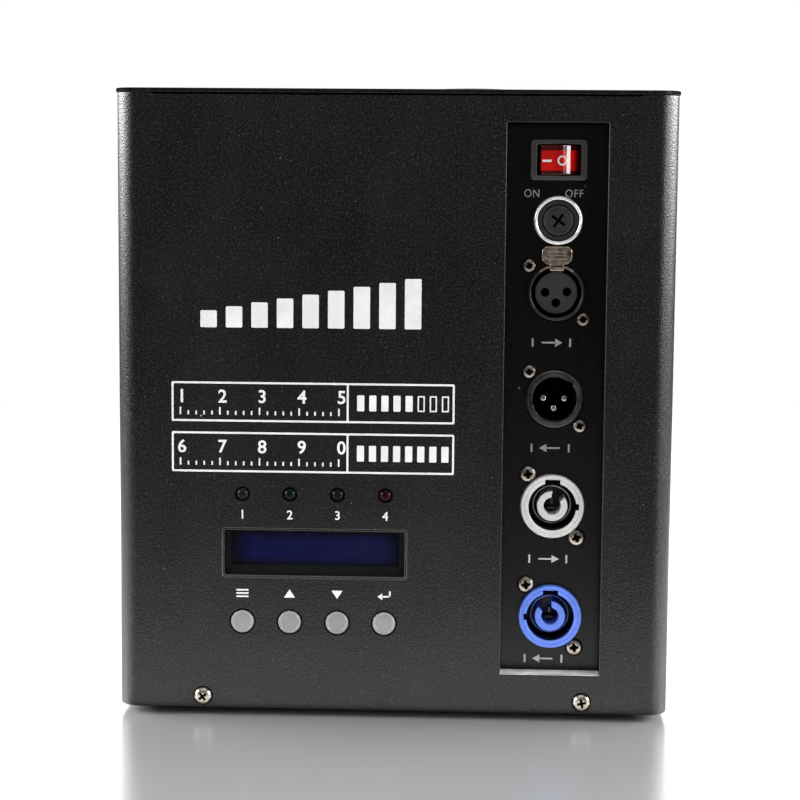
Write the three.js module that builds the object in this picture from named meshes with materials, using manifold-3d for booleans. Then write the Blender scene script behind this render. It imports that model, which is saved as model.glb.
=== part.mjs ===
// Cold spark machine: a stage-effect fountain in a folded sheet-metal casing.
// Units are millimetres. +Z is up, the front (display and sockets) faces -Y,
// +X is to the right as seen from the front. The origin is on the floor,
// under the middle of the machine.
import * as THREE from 'three';
import { mergeVertices } from 'three/addons/utils/BufferGeometryUtils.js';
import Module from 'manifold-3d';

const wasm = await Module();
wasm.setup();

// ---------------------------------------------------------------- dimensions
const BODY_W = 210;          // casing width (X)
const BODY_D = 192;          // casing depth (Y)
const SHEET = 1.5;           // casing sheet thickness
const CORNER_R = 8;          // outer radius of the vertical folds
const FOOT_H = 3;            // rubber feet lift the casing this far
const BODY_TOP = 232.8;      // top edge of the casing above its bottom edge
const CORNER_TOP = 233.4;    // the same at the four corners, which carry the lid
const CORNER_RUN = 14.5;     // length of the raised corners along each side
const LID_UNDER = 233.5;     // underside of the lid above the casing's bottom edge
const LID_TOP = 235;         // top of the lid above the casing's bottom edge
const LID_PROUD = 0.5;       // the lid stands this far out all round

const PANEL_X = 60;          // middle of the tall cut-out in the front
const PANEL_W = 37.6;        // its width
const PANEL_Z0 = 15;         // its lower edge above the casing's bottom edge
const PANEL_Z1 = 223.1;      // its upper edge
const PANEL_DEPTH = 8;       // how far the connector panel is set back
const PANEL_T = 1.2;         // its thickness

const ROCKER = { x: 60.7, z: 209.5, w: 21.2, h: 15.1 };
const FUSE = { x: 60.8, z: 187.0, ringR: 9.25 };
const DMX_OUT = { x: 60.5, z: 160.0, r: 10.65, sx: 10.3, sz: 10.0 };
const DMX_IN = { x: 60.5, z: 119.8, r: 10.95, sx: 9.7, sz: 10.2 };
const POWER_OUT = { x: 60.3, z: 78.9, r: 12, sx: 9.4, sz: 12.1 };
const POWER_IN = { x: 60.1, z: 36.3, r: 12, sx: 9.4, sz: 12.1 };

const LCD = { x: -29.7, z: 60.4, w: 69.8, h: 18.6 };   // window cut-out
const LAMP_X = [-57.1, -39.1, -21.0, -2.9];            // four 5 mm lamps
const LAMP_Z = 83;
const BUTTON_X = [-57.1, -39.1, -21.0, -3.1];          // four push buttons
const BUTTON_Z = 33.9;
const BUTTON_R = 4.35;
const BASE_SCREW_X = 72.3;   // lowest screws, front and back
const BASE_SCREW_Z = 4.6;

const FAN_Z = 173;           // fan axis above the casing's bottom edge
const FAN_SIZE = 70;
const FAN_DEPTH = 25;
const FAN_PITCH = 61.5;      // screw spacing, square
const SLOT_PITCH = 7;        // nine upright slots in the back
const SLOT_W = 4.1;
const SLOT_HALF = [32, 30.8, 27.7, 22.7, 11.9];        // half lengths from the middle out

const OUTLET = { x: 28, y: -11 };     // spark outlet on the top
const COLLAR_R = 19;
const COLLAR_H = 4;
const FILLER = { x: -55, y: 30 };     // granule filler on the top
const FILLER_CAP_R = 14;
const FEED_Z = 145;                   // height of the feed screw
const FOOT_X = 85;
const FOOT_Y = 76;

// ------------------------------------------------------------------- helpers
const B = FOOT_H;
const FRONT = -BODY_D / 2;
const BACK = BODY_D / 2;
const IN_FRONT = FRONT + SHEET;
const IN_BACK = BACK - SHEET;
const PANEL_Y = FRONT + PANEL_DEPTH;          // front surface of the connector panel

// closed geometry -> solid
function solid(geometry, matrix) {
  let g = geometry.clone();
  if (matrix) g.applyMatrix4(matrix);
  g.deleteAttribute('normal');
  g.deleteAttribute('uv');
  g = mergeVertices(g, 1e-5);
  const p = g.attributes.position.array;
  const index = g.index.array;
  let tris = [];
  let vol = 0;
  for (let i = 0; i < index.length; i += 3) {
    const [a, b, c] = [index[i], index[i + 1], index[i + 2]];
    if (a === b || b === c || c === a) continue;
    tris.push(a, b, c);
    const [ax, ay, az, bx, by, bz, cx, cy, cz] = [
      p[3 * a], p[3 * a + 1], p[3 * a + 2], p[3 * b], p[3 * b + 1], p[3 * b + 2],
      p[3 * c], p[3 * c + 1], p[3 * c + 2]];
    vol += ax * (by * cz - bz * cy) - ay * (bx * cz - bz * cx) + az * (bx * cy - by * cx);
  }
  if (vol < 0) {
    for (let i = 0; i < tris.length; i += 3) [tris[i + 1], tris[i + 2]] = [tris[i + 2], tris[i + 1]];
  }
  return new wasm.Manifold(new wasm.Mesh({
    numProp: 3, vertProperties: new Float32Array(p), triVerts: new Uint32Array(tris),
  }));
}

// solid -> geometry
function geometryOf(manifold) {
  const mesh = manifold.getMesh();
  let g = new THREE.BufferGeometry();
  const n = mesh.vertProperties.length / mesh.numProp;
  const pos = new Float32Array(n * 3);
  for (let i = 0; i < n; i++) {
    for (let k = 0; k < 3; k++) pos[3 * i + k] = mesh.vertProperties[i * mesh.numProp + k];
  }
  g.setAttribute('position', new THREE.BufferAttribute(pos, 3));
  g.setIndex(new THREE.BufferAttribute(new Uint32Array(mesh.triVerts), 1));
  g = g.toNonIndexed();
  g.computeVertexNormals();
  return g;
}

const union = (first, ...rest) => rest.reduce((a, b) => a.add(b), first);
const minus = (first, ...rest) => rest.reduce((a, b) => a.subtract(b), first);
const at = (x, y, z) => new THREE.Matrix4().makeTranslation(x, y, z);
const Z_TO_Y = new THREE.Matrix4().makeRotationX(Math.PI / 2);      // local +Z points to -Y
const LATHE_TO_Z = new THREE.Matrix4().makeRotationX(Math.PI / 2);  // lathe axis Y -> Z

// box by its limits
function box(x0, x1, y0, y1, z0, z1) {
  return solid(new THREE.BoxGeometry(x1 - x0, y1 - y0, z1 - z0),
    at((x0 + x1) / 2, (y0 + y1) / 2, (z0 + z1) / 2));
}

// shape with rounded corners, centred
function roundRect(w, h, r, steps = 6) {
  const s = new THREE.Shape();
  const pts = [];
  const corner = (cx, cy, a0) => {
    for (let i = 0; i <= steps; i++) {
      const a = a0 + (Math.PI / 2) * (i / steps);
      pts.push(new THREE.Vector2(cx + r * Math.cos(a), cy + r * Math.sin(a)));
    }
  };
  corner(w / 2 - r, h / 2 - r, 0);
  corner(-w / 2 + r, h / 2 - r, Math.PI / 2);
  corner(-w / 2 + r, -h / 2 + r, Math.PI);
  corner(w / 2 - r, -h / 2 + r, 1.5 * Math.PI);
  s.setFromPoints(pts);
  return s;
}

// shape drawn in X and Y, from z0 to z1
function prismZ(shape, z0, z1, x = 0, y = 0) {
  const g = new THREE.ExtrudeGeometry(shape, { depth: z1 - z0, bevelEnabled: false, curveSegments: 12 });
  return solid(g, at(x, y, z0));
}

// shape drawn in X and Z, from y0 to y1
function prismY(shape, y0, y1, x = 0, z = 0) {
  const g = new THREE.ExtrudeGeometry(shape, { depth: y1 - y0, bevelEnabled: false, curveSegments: 12 });
  const m = at(x, y1, z).multiply(Z_TO_Y);
  return solid(g, m);
}

// turned piece about an upright axis; profile points are [radius, height]
function turnZ(profile, x, y, z, seg = 24) {
  const g = new THREE.LatheGeometry(profile.map(([r, h]) => new THREE.Vector2(r, h)), seg);
  return solid(g, at(x, y, z).multiply(LATHE_TO_Z));
}

// turned piece about an axis along Y; profile points are [radius, y]
function turnY(profile, x, z, seg = 24) {
  const g = new THREE.LatheGeometry(profile.map(([r, y]) => new THREE.Vector2(r, y)), seg);
  return solid(g, at(x, 0, z));
}

const rodY = (r, y0, y1, x, z, seg = 20) => turnY([[0, y0], [r, y0], [r, y1], [0, y1]], x, z, seg);
const rodZ = (r, z0, z1, x, y, seg = 20) => turnZ([[0, z0], [r, z0], [r, z1], [0, z1]], x, y, 0, seg);
const ring = (r0, r1, h0, h1) => [[r0, h0], [r1, h0], [r1, h1], [r0, h1], [r0, h0]];

const machine = new THREE.Group();
function piece(name, manifold, look, parent = machine) {
  const material = new THREE.MeshStandardMaterial(look);
  const mesh = new THREE.Mesh(geometryOf(manifold), material);
  mesh.name = name;
  parent.add(mesh);
  return mesh;
}

const LOOK = {
  casing: { color: 0x38393b, roughness: 0.55, metalness: 0.3 },
  panel: { color: 0x0c0c0d, roughness: 0.6, metalness: 0.1 },
  steel: { color: 0xc9c6c0, roughness: 0.3, metalness: 1 },
  black: { color: 0x121213, roughness: 0.4, metalness: 0 },
  rubber: { color: 0x161616, roughness: 0.9, metalness: 0 },
  red: { color: 0xc01010, roughness: 0.2, metalness: 0 },
  grey: { color: 0xe2e3e0, roughness: 0.45, metalness: 0 },
  blue: { color: 0x5a82e6, roughness: 0.45, metalness: 0 },
  button: { color: 0xa9abae, roughness: 0.5, metalness: 0 },
  lcd: { color: 0x101a55, roughness: 0.15, metalness: 0 },
  clear: { color: 0x20242c, roughness: 0.05, metalness: 0, transparent: true, opacity: 0.35 },
  board: { color: 0x1d5a35, roughness: 0.5, metalness: 0.1 },
  stainless: { color: 0xb4b2ad, roughness: 0.35, metalness: 1 },
  ceramic: { color: 0xe4ddd0, roughness: 0.8, metalness: 0 },
  white: { color: 0xf4f4f4, roughness: 0.25, metalness: 0.2 },
  zinc: { color: 0x9da0a3, roughness: 0.4, metalness: 1 },
};

// -------------------------------------------------------------------- casing
{
  let shell = prismZ(roundRect(BODY_W, BODY_D, CORNER_R, 6), B, B + CORNER_TOP);
  shell = minus(shell, prismZ(roundRect(BODY_W - 2 * SHEET, BODY_D - 2 * SHEET, CORNER_R - SHEET, 6), B - 1, B + 240));
  // shadow gap: the straight edges stop short of the lid
  const runX = BODY_W / 2 - CORNER_RUN;
  const runY = BODY_D / 2 - CORNER_RUN;
  shell = minus(shell,
    box(-runX, runX, -BODY_D, BODY_D, B + BODY_TOP, B + 240),
    box(-BODY_W, BODY_W, -runY, runY, B + BODY_TOP, B + 240));
  // front: tall cut-out, display window, lamps, buttons, lowest screws
  const cuts = [
    box(PANEL_X - PANEL_W / 2, PANEL_X + PANEL_W / 2, FRONT - 2, IN_FRONT + 2, B + PANEL_Z0, B + PANEL_Z1),
    prismY(roundRect(LCD.w, LCD.h, 1, 3), FRONT - 2, IN_FRONT + 2, LCD.x, B + LCD.z),
    ...LAMP_X.map((x) => rodY(2.65, FRONT - 2, IN_FRONT + 2, x, B + LAMP_Z, 10)),
    ...BUTTON_X.map((x) => rodY(BUTTON_R + 0.25, FRONT - 2, IN_FRONT + 2, x, B + BUTTON_Z, 14)),
  ];
  for (const sx of [-1, 1]) {
    cuts.push(rodY(1.9, FRONT - 2, IN_FRONT + 2, sx * BASE_SCREW_X, B + BASE_SCREW_Z, 8));
    cuts.push(rodY(1.9, IN_BACK - 2, BACK + 2, sx * BASE_SCREW_X, B + BASE_SCREW_Z, 8));
    for (const sz of [-1, 1]) {
      cuts.push(rodY(2.3, IN_BACK - 2, BACK + 2, sx * FAN_PITCH / 2, B + FAN_Z + sz * FAN_PITCH / 2, 10));
    }
  }
  // back: nine upright slots with round ends
  for (let i = -4; i <= 4; i++) {
    const half = SLOT_HALF[Math.abs(i)];
    cuts.push(prismY(roundRect(SLOT_W, 2 * half, SLOT_W / 2 - 0.05, 2), IN_BACK - 2, BACK + 2, i * SLOT_PITCH, B + FAN_Z));
  }
  piece('body_shell', minus(shell, ...cuts), LOOK.casing);
}

{
  // lid: flat plate with a shallow rim that drops inside the casing
  let lid = prismZ(roundRect(BODY_W + 2 * LID_PROUD, BODY_D + 2 * LID_PROUD, CORNER_R + LID_PROUD, 6), B + LID_UNDER, B + LID_TOP);
  const rimOut = 2 * SHEET + 0.8;
  let rim = prismZ(roundRect(BODY_W - rimOut, BODY_D - rimOut, 6, 4), B + 229.3, B + LID_UNDER + 0.5);
  rim = minus(rim, prismZ(roundRect(BODY_W - rimOut - 2.4, BODY_D - rimOut - 2.4, 4.8, 4), B + 228, B + LID_UNDER));
  lid = union(lid, rim);
  lid = minus(lid,
    rodZ(15, B + 228, B + 240, OUTLET.x, OUTLET.y, 28),
    rodZ(12.8, B + 228, B + 240, FILLER.x, FILLER.y, 24));
  piece('lid_plate', lid, LOOK.casing);
}

{
  // base: tray with four low flanges, screwed to the casing in front and behind
  let base = prismZ(roundRect(BODY_W - 3.6, BODY_D - 3.6, 6.2, 4), B + 0.3, B + 9);
  base = minus(base, prismZ(roundRect(BODY_W - 6.6, BODY_D - 6.6, 4.7, 4), B + 1.8, B + 20));
  const holes = [];
  for (const sx of [-1, 1]) {
    holes.push(rodY(1.8, FRONT, FRONT + 6, sx * BASE_SCREW_X, B + BASE_SCREW_Z, 8));
    holes.push(rodY(1.8, BACK - 6, BACK, sx * BASE_SCREW_X, B + BASE_SCREW_Z, 8));
  }
  piece('base_plate', minus(base, ...holes), LOOK.casing);
}

for (const [name, sx, sy] of [
  ['foot_front_left', -1, -1], ['foot_front_right', 1, -1],
  ['foot_back_left', -1, 1], ['foot_back_right', 1, 1]]) {
  piece(name, turnZ([[0, 0], [8.8, 0], [9.5, 0.7], [9.5, 3.2], [0, 3.2]], sx * FOOT_X, sy * FOOT_Y, 0, 14), LOOK.rubber);
}

// pan-head screw along Y; head outside at y0, side = -1 for the front, 1 for the back
function screw(name, x, z, faceY, side, headR, headH, shankR, length, seg = 9) {
  const y = (d) => faceY + side * d;
  const profile = [[0, y(headH)], [headR * 0.8, y(headH)], [headR, y(headH * 0.4)],
    [headR, y(0.05)], [shankR, y(0.05)], [shankR, y(-length)], [0, y(-length)]];
  let s = turnY(profile, x, z, seg);
  // cross recess
  const a = headR * 0.5;
  const w = headR * 0.11;
  const yA = Math.min(y(headH - headR * 0.3), y(headH + 1));
  const yB = Math.max(y(headH - headR * 0.3), y(headH + 1));
  s = minus(s, box(x - a, x + a, yA, yB, z - w, z + w), box(x - w, x + w, yA, yB, z - a, z + a));
  piece(name, s, LOOK.steel);
}

screw('base_screw_front_left', -BASE_SCREW_X, B + BASE_SCREW_Z, FRONT, -1, 3.45, 2, 1.5, 8);
screw('base_screw_front_right', BASE_SCREW_X, B + BASE_SCREW_Z, FRONT, -1, 3.45, 2, 1.5, 8);
screw('base_screw_back_left', -BASE_SCREW_X, B + BASE_SCREW_Z, BACK, 1, 3.45, 2, 1.5, 8);
screw('base_screw_back_right', BASE_SCREW_X, B + BASE_SCREW_Z, BACK, 1, 3.45, 2, 1.5, 8);
screw('fan_screw_top_left', -FAN_PITCH / 2, B + FAN_Z + FAN_PITCH / 2, BACK, 1, 4, 2, 1.9, 18);
screw('fan_screw_top_right', FAN_PITCH / 2, B + FAN_Z + FAN_PITCH / 2, BACK, 1, 4, 2, 1.9, 18);
screw('fan_screw_bottom_left', -FAN_PITCH / 2, B + FAN_Z - FAN_PITCH / 2, BACK, 1, 4, 2, 1.9, 18);
screw('fan_screw_bottom_right', FAN_PITCH / 2, B + FAN_Z - FAN_PITCH / 2, BACK, 1, 4, 2, 1.9, 18);

// ----------------------------------------------------------- connector panel
{
  const x0 = PANEL_X - PANEL_W / 2;
  const x1 = PANEL_X + PANEL_W / 2;
  const z0 = B + PANEL_Z0;
  const z1 = B + PANEL_Z1;
  const yFlange = IN_FRONT + 0.3;
  const yRear = PANEL_Y + PANEL_T;
  // tray: outer block less its inside, with a flange that lies behind the front
  let tray = union(
    box(x0 - PANEL_T, x1 + PANEL_T, yFlange, yRear, z0 - PANEL_T, z1 + PANEL_T),
    box(x0 - 5, x1 + 5, yFlange, yFlange + 1.2, z0 - 5, z1 + 5));
  tray = minus(tray, box(x0, x1, yFlange - 5, PANEL_Y, z0, z1));
  const through = (r, x, z, seg = 12) => rodY(r, PANEL_Y - 1, yRear + 1, x, B + z, seg);
  tray = minus(tray,
    box(ROCKER.x - 9.8, ROCKER.x + 9.8, PANEL_Y - 1, yRear + 1, B + ROCKER.z - 6.7, B + ROCKER.z + 6.7),
    through(7.3, FUSE.x, FUSE.z),
    through(DMX_OUT.r + 0.35, DMX_OUT.x, DMX_OUT.z, 20),
    through(DMX_IN.r + 0.35, DMX_IN.x, DMX_IN.z, 20),
    through(POWER_OUT.r + 0.3, POWER_OUT.x, POWER_OUT.z, 20),
    through(POWER_IN.r + 0.3, POWER_IN.x, POWER_IN.z, 20));
  for (const c of [DMX_OUT, DMX_IN, POWER_OUT, POWER_IN]) {
    for (const s of [-1, 1]) tray = minus(tray, through(1.5, c.x + s * c.sx, c.z - s * c.sz, 6));
  }
  piece('connector_panel', tray, LOOK.panel);
}

// rocker switch: housing with bezel, rocker turning about an upright pin
{
  const { x, z, w, h } = ROCKER;
  const bezel = prismY(roundRect(w, h, 1.2, 3), PANEL_Y - 2, PANEL_Y - 0.05, x, B + z);
  const block = box(x - 9.5, x + 9.5, PANEL_Y - 1, PANEL_Y + 16, B + z - 6.4, B + z + 6.4);
  let housing = union(bezel, block);
  // rocker well and the three contact blades behind
  housing = minus(housing, box(x - 8.2, x + 8.2, PANEL_Y - 4, PANEL_Y + 9, B + z - 5.8, B + z + 5.8));
  for (const dx of [-6, 0, 6]) {
    housing = union(housing, box(x + dx - 0.4, x + dx + 0.4, PANEL_Y + 15, PANEL_Y + 23, B + z - 2.4, B + z + 2.4));
  }
  // pivot pin across the well
  housing = union(housing, rodZ(1, B + z - 6.1, B + z + 6.1, x, PANEL_Y + 2.5, 12));
  piece('rocker_housing', housing, LOOK.black);

  // section in X and depth, drawn in its middle position, then turned to ON
  const s = new THREE.Shape();
  s.setFromPoints([[-5.6, 6.2], [-7.3, -0.6], [-6.4, -3.4], [-2.4, -4.2], [2.4, -4.2], [6.4, -3.4], [7.6, -0.6], [5.3, 4.95],
    [3.9, 6.1], [2.6, 5.5], [0, 5.2], [-3, 5.5]].reverse().map(([a, b]) => new THREE.Vector2(a, b)));
  const g = new THREE.ExtrudeGeometry(s, { depth: 11, bevelEnabled: false });
  // shape X -> X, shape Y (outward) -> -Y, extrusion -> Z
  const m = at(x, PANEL_Y + 2.5, B + z - 5.5)
    .multiply(new THREE.Matrix4().makeRotationZ(THREE.MathUtils.degToRad(-12)))
    .multiply(new THREE.Matrix4().makeScale(1, -1, 1));
  let rocker = solid(g, m);
  rocker = minus(rocker, rodZ(1.3, B + z - 7, B + z + 7, x, PANEL_Y + 2.5, 12));
  piece('rocker_button', rocker, LOOK.red);
}

// fuse holder: bright ring, body, cap with cross slot, glass fuse
{
  const { x, z, ringR } = FUSE;
  const f = PANEL_Y;
  piece('fuse_ring', turnY([[7.8, f - 0.05], [7.8, f - 2.6], [8.4, f - 3], [8.9, f - 2.7], [ringR, f - 1.6], [ringR, f - 0.05], [7.8, f - 0.05]], x, B + z, 18), LOOK.steel);
  const body = [[5.95, f - 1.7], [7.55, f - 1.7], [7.55, f - 0.05], [6.9, f - 0.05], [6.9, f + 22], [5.4, f + 32], [0, f + 32],
    [0, f + 30.5], [3.4, f + 30.5], [3.4, f + 4.6], [5.95, f + 4.6], [5.95, f - 1.7]];
  piece('fuse_holder', turnY(body, x, B + z, 16), LOOK.black);
  let cap = turnY([[0, f - 2.4], [5.2, f - 2.4], [5.6, f - 2.0], [5.6, f + 2.6], [3.2, f + 2.6], [3.2, f + 8], [2.7, f + 8], [2.7, f + 3.4], [0, f + 3.4]], x, B + z, 16);
  const slot = (a) => {
    const m = at(x, f - 2.4, B + z).multiply(new THREE.Matrix4().makeRotationY(a));
    return solid(new THREE.BoxGeometry(6.2, 2, 1.1), m);
  };
  cap = minus(cap, slot(0.62), slot(0.62 + Math.PI / 2));
  piece('fuse_cap', cap, LOOK.black);
  piece('fuse', turnY([[0, f + 3.8], [2.5, f + 3.8], [2.5, f + 8.6], [2.3, f + 8.8], [2.3, f + 18.8], [2.5, f + 19], [2.5, f + 23.8], [0, f + 23.8]], x, B + z, 10), LOOK.clear);
}

// data sockets
function flange(c, w, h, y0, y1) {
  return minus(prismY(roundRect(w, h, 2, 3), y0, y1, c.x, B + c.z), rodY(c.r - 0.6, y0 - 1, y1 + 1, c.x, B + c.z, 12));
}
function flangeHoles(c, y0, y1) {
  return [-1, 1].map((s) => rodY(1.5, y0, y1, c.x + s * c.sx, B + c.z - s * c.sz, 6));
}
{
  const c = DMX_OUT;
  const f = PANEL_Y;
  const profile = [[0, f - 0.6], [8.0, f - 0.6], [8.0, f + 10], [9.5, f + 10], [9.5, f - 1.6], [c.r, f - 1.6], [c.r, f + 1],
    [c.r, f + 20], [9, f + 24], [0, f + 24]];
  let socket = turnY(profile, c.x, B + c.z, 20);
  socket = union(socket, flange(c, 26, 26, f + PANEL_T + 0.1, f + PANEL_T + 2));
  socket = minus(socket, ...flangeHoles(c, f + 1, f + 5),
    rodY(1.35, f - 2, f + 9, c.x - 4.2, B + c.z + 0.1, 8),
    rodY(1.35, f - 2, f + 9, c.x + 4.0, B + c.z + 0.3, 8),
    rodY(1.35, f - 2, f + 9, c.x - 0.1, B + c.z - 3.8, 8));
  // room for the release lever's foot at the top of the shell
  socket = minus(socket, box(c.x - 3.1, c.x + 3.1, f - 3, f + 0.9, B + c.z + 9.2, B + c.z + 14));
  piece('dmx_out_socket', socket, LOOK.zinc);

  // sprung release tab above the socket: octagonal plate, neck and foot
  const tab = new THREE.Shape();
  tab.setFromPoints([[-5.6, 1.4], [-4.2, 0], [-2.6, -0.4], [-2.6, -2.6], [2.6, -2.6], [2.6, -0.4], [4.2, 0], [5.6, 1.4],
    [5.6, 5.1], [4.2, 6.4], [-4.2, 6.4], [-5.6, 5.1]].map(([a, b]) => new THREE.Vector2(a, b)));
  let latch = prismY(tab, f - 3.0, f - 1.8, c.x, B + c.z + 10.9);
  latch = union(latch, box(c.x - 2.6, c.x + 2.6, f - 3, f + 0.5, B + c.z + 9.5, B + c.z + 10.3));
  piece('dmx_out_latch', latch, LOOK.steel);
}
{
  const c = DMX_IN;
  const f = PANEL_Y;
  const profile = [[8.35, f - 1.8], [9.0, f - 2.2], [c.r - 0.6, f - 2.2], [c.r, f - 1.4], [c.r, f + 20], [0, f + 20], [0, f + 14.5], [8.35, f + 14.5], [8.35, f - 1.8]];
  let socket = turnY(profile, c.x, B + c.z, 20);
  socket = union(socket, flange(c, 26, 26, f + PANEL_T + 0.1, f + PANEL_T + 2));
  socket = minus(socket, ...flangeHoles(c, f + 1, f + 5));
  piece('dmx_in_socket', socket, LOOK.zinc);
  const pin = (dx, dz) => turnY([[0, f + 2.2], [0.7, f + 2.2], [1.2, f + 3], [1.2, f + 12], [0, f + 12]], c.x + dx, B + c.z + dz, 8);
  const insert = union(rodY(8.05, f + 11, f + 14.2, c.x, B + c.z, 20), pin(-4.2, 0.1), pin(3.8, 0), pin(-0.2, -3.8));
  piece('dmx_in_pins', insert, LOOK.steel);
}

// twist-lock mains sockets: ring with keyways round an open inner collar
function powerSocket(name, c, look, gapFrom, gapTo, sideKey) {
  const f = PANEL_Y;
  const profile = [[9.1, f - 2.6], [9.5, f - 3], [c.r - 0.5, f - 3], [c.r, f - 2.5], [c.r, f + 18], [10.5, f + 22], [0, f + 22],
    [0, f + 10], [9.1, f + 10], [9.1, f - 2.6]];
  let socket = turnY(profile, c.x, B + c.z, 20);
  socket = union(socket, flange(c, 26, 31, f + PANEL_T + 0.1, f + PANEL_T + 2.4));
  // inner collar, open over part of its turn
  const inner = new THREE.Shape();
  const pts = [];
  const steps = 9;
  const rad = THREE.MathUtils.degToRad;
  for (let i = 0; i <= steps; i++) {
    const a = rad(gapTo + (360 - (gapTo - gapFrom)) * (i / steps));
    pts.push(new THREE.Vector2(5.8 * Math.cos(a), 5.8 * Math.sin(a)));
  }
  for (let i = steps; i >= 0; i--) {
    const a = rad(gapTo + (360 - (gapTo - gapFrom)) * (i / steps));
    pts.push(new THREE.Vector2(3.3 * Math.cos(a), 3.3 * Math.sin(a)));
  }
  inner.setFromPoints(pts);
  socket = union(socket, prismY(inner, f - 1.4, f + 11, c.x, B + c.z));
  // keyways
  socket = minus(socket, box(c.x - 2.9, c.x + 2.9, f - 4, f + 8, B + c.z + 8.2, B + c.z + 10.3),
    sideKey > 0 ? box(c.x + 8.2, c.x + 10.1, f - 4, f + 8, B + c.z - 1.2, B + c.z + 1.2)
      : box(c.x - 10.1, c.x - 8.2, f - 4, f + 8, B + c.z - 1.2, B + c.z + 1.2),
    ...flangeHoles(c, f + 1, f + 5));
  // contact blades behind
  for (const dx of [-6, 0, 6]) socket = union(socket, box(c.x + dx - 0.4, c.x + dx + 0.4, f + 21, f + 29, B + c.z - 2.4, B + c.z + 2.4));
  piece(name, socket, look);
}
powerSocket('power_out_socket', POWER_OUT, LOOK.grey, 35, 90, 1);
powerSocket('power_in_socket', POWER_IN, LOOK.blue, 84, 143, -1);

for (const [name, c, headR, headH] of [['dmx_out_screw', DMX_OUT, 2.5, 1.3], ['dmx_in_screw', DMX_IN, 2.5, 1.3],
  ['power_out_screw', POWER_OUT, 3.05, 1.6], ['power_in_screw', POWER_IN, 3.05, 1.6]]) {
  screw(`${name}_upper`, c.x - c.sx, B + c.z + c.sz, PANEL_Y, -1, headR, headH, 1.2, 7, 8);
  screw(`${name}_lower`, c.x + c.sx, B + c.z - c.sz, PANEL_Y, -1, headR, headH, 1.2, 7, 8);
}

// ------------------------------------------------------- display and controls
piece('display_window', prismY(roundRect(LCD.w - 0.3, LCD.h - 0.3, 0.9, 3), FRONT + 0.3, FRONT + 1.5, LCD.x, B + LCD.z), LOOK.clear);
{
  const z = B + LCD.z;
  let module = union(
    box(LCD.x - 35.6, LCD.x + 35.6, IN_FRONT + 0.3, IN_FRONT + 6.5, z - 11.5, z + 11.5),
    box(LCD.x - 40, LCD.x + 40, IN_FRONT + 6, IN_FRONT + 7.6, z - 17.5, z + 17.5));
  // the glass lies a little behind the metal frame's face
  module = minus(module, box(LCD.x - 32.2, LCD.x + 32.2, IN_FRONT - 1, IN_FRONT + 1, z - 4.9, z + 7.9));
  piece('display_module', module, LOOK.lcd);
}
{
  const x0 = -74;
  const x1 = 14;
  let board = box(x0, x1, FRONT + 11, FRONT + 12.6, B + 24, B + 94);
  // tact switches, the plug for the ribbon cable, two chips
  for (const x of BUTTON_X) board = union(board, box(x - 3, x + 3, FRONT + 10.3, FRONT + 11.5, B + BUTTON_Z - 3, B + BUTTON_Z + 3));
  board = union(board,
    box(-62, -30, FRONT + 12, FRONT + 19, B + 84, B + 90),
    box(-50, -32, FRONT + 12, FRONT + 15, B + 50, B + 68),
    box(-18, 6, FRONT + 12, FRONT + 22, B + 30, B + 38));
  piece('control_board', board, LOOK.board);
}
LAMP_X.forEach((x, i) => {
  const f = FRONT;
  piece(`indicator_lamp_${i + 1}`, turnY([[0, f - 0.9], [1.6, f - 0.4], [2.5, f + 1.2], [2.5, f + 1.8], [2.95, f + 1.8], [2.95, f + 2.8], [2.4, f + 2.8], [2.4, f + 7.5], [0, f + 7.5]],
    x, B + LAMP_Z, 8), LOOK.clear);
});
BUTTON_X.forEach((x, i) => {
  const f = FRONT;
  const r = BUTTON_R;
  piece(`push_button_${i + 1}`, turnY([[0, f - 0.6], [2.9, f - 0.6], [3.4, f - 1.0], [r, f - 1.0], [r, f + 1.8], [5.4, f + 1.8], [5.4, f + 2.8], [2.4, f + 2.8], [2.4, f + 9.1], [0, f + 9.1]],
    x, B + BUTTON_Z, 10), LOOK.button);
});

// ----------------------------------------------------------------------- fan
{
  const z = B + FAN_Z;
  const y1 = IN_BACK - 0.3;
  const y0 = y1 - FAN_DEPTH;
  let frame = prismY(roundRect(FAN_SIZE, FAN_SIZE, 5, 4), y0, y1, 0, z);
  frame = minus(frame, rodY(33, y0 - 1, y1 + 1, 0, z, 28));
  // four struts carry the hub on the outer side
  for (const a of [45, 135, 225, 315]) {
    const m = at(0, y1 - 1.5, z).multiply(new THREE.Matrix4().makeRotationY(THREE.MathUtils.degToRad(a))).multiply(at(24, 0, 0));
    frame = union(frame, solid(new THREE.BoxGeometry(23, 3, 3.4), m));
  }
  frame = union(frame, turnY([[0, y1], [14.5, y1], [14.5, y1 - 2.4], [4.4, y1 - 2.4], [4.4, y1 - 15], [2, y1 - 15], [2, y1 - 1.4], [0, y1 - 1.4]], 0, z, 18));
  for (const sx of [-1, 1]) {
    for (const sz of [-1, 1]) frame = minus(frame, rodY(2.2, y0 - 1, y1 + 1, sx * FAN_PITCH / 2, z + sz * FAN_PITCH / 2, 8));
  }
  piece('fan_frame', frame, LOOK.black);

  // rotor: cup round the bearing boss, shaft, seven pitched blades
  let rotor = turnY([[0, y0 + 1.6], [13.2, y0 + 1.6], [14.2, y0 + 2.6], [14.2, y1 - 3.4], [12.4, y1 - 3.4], [12.4, y0 + 3.6], [1.6, y0 + 3.6], [1.6, y1 - 2.2], [0, y1 - 2.2]], 0, z, 18);
  for (let i = 0; i < 7; i++) {
    const a = (i / 7) * 2 * Math.PI;
    const m = at(0, (y0 + y1) / 2 - 1.2, z)
      .multiply(new THREE.Matrix4().makeRotationY(a))
      .multiply(at(22.7, 0, 0))
      .multiply(new THREE.Matrix4().makeRotationX(THREE.MathUtils.degToRad(38)));
    rotor = union(rotor, solid(new THREE.BoxGeometry(18, 1.5, 20), m));
  }
  piece('fan_rotor', rotor, LOOK.black);
}

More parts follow.
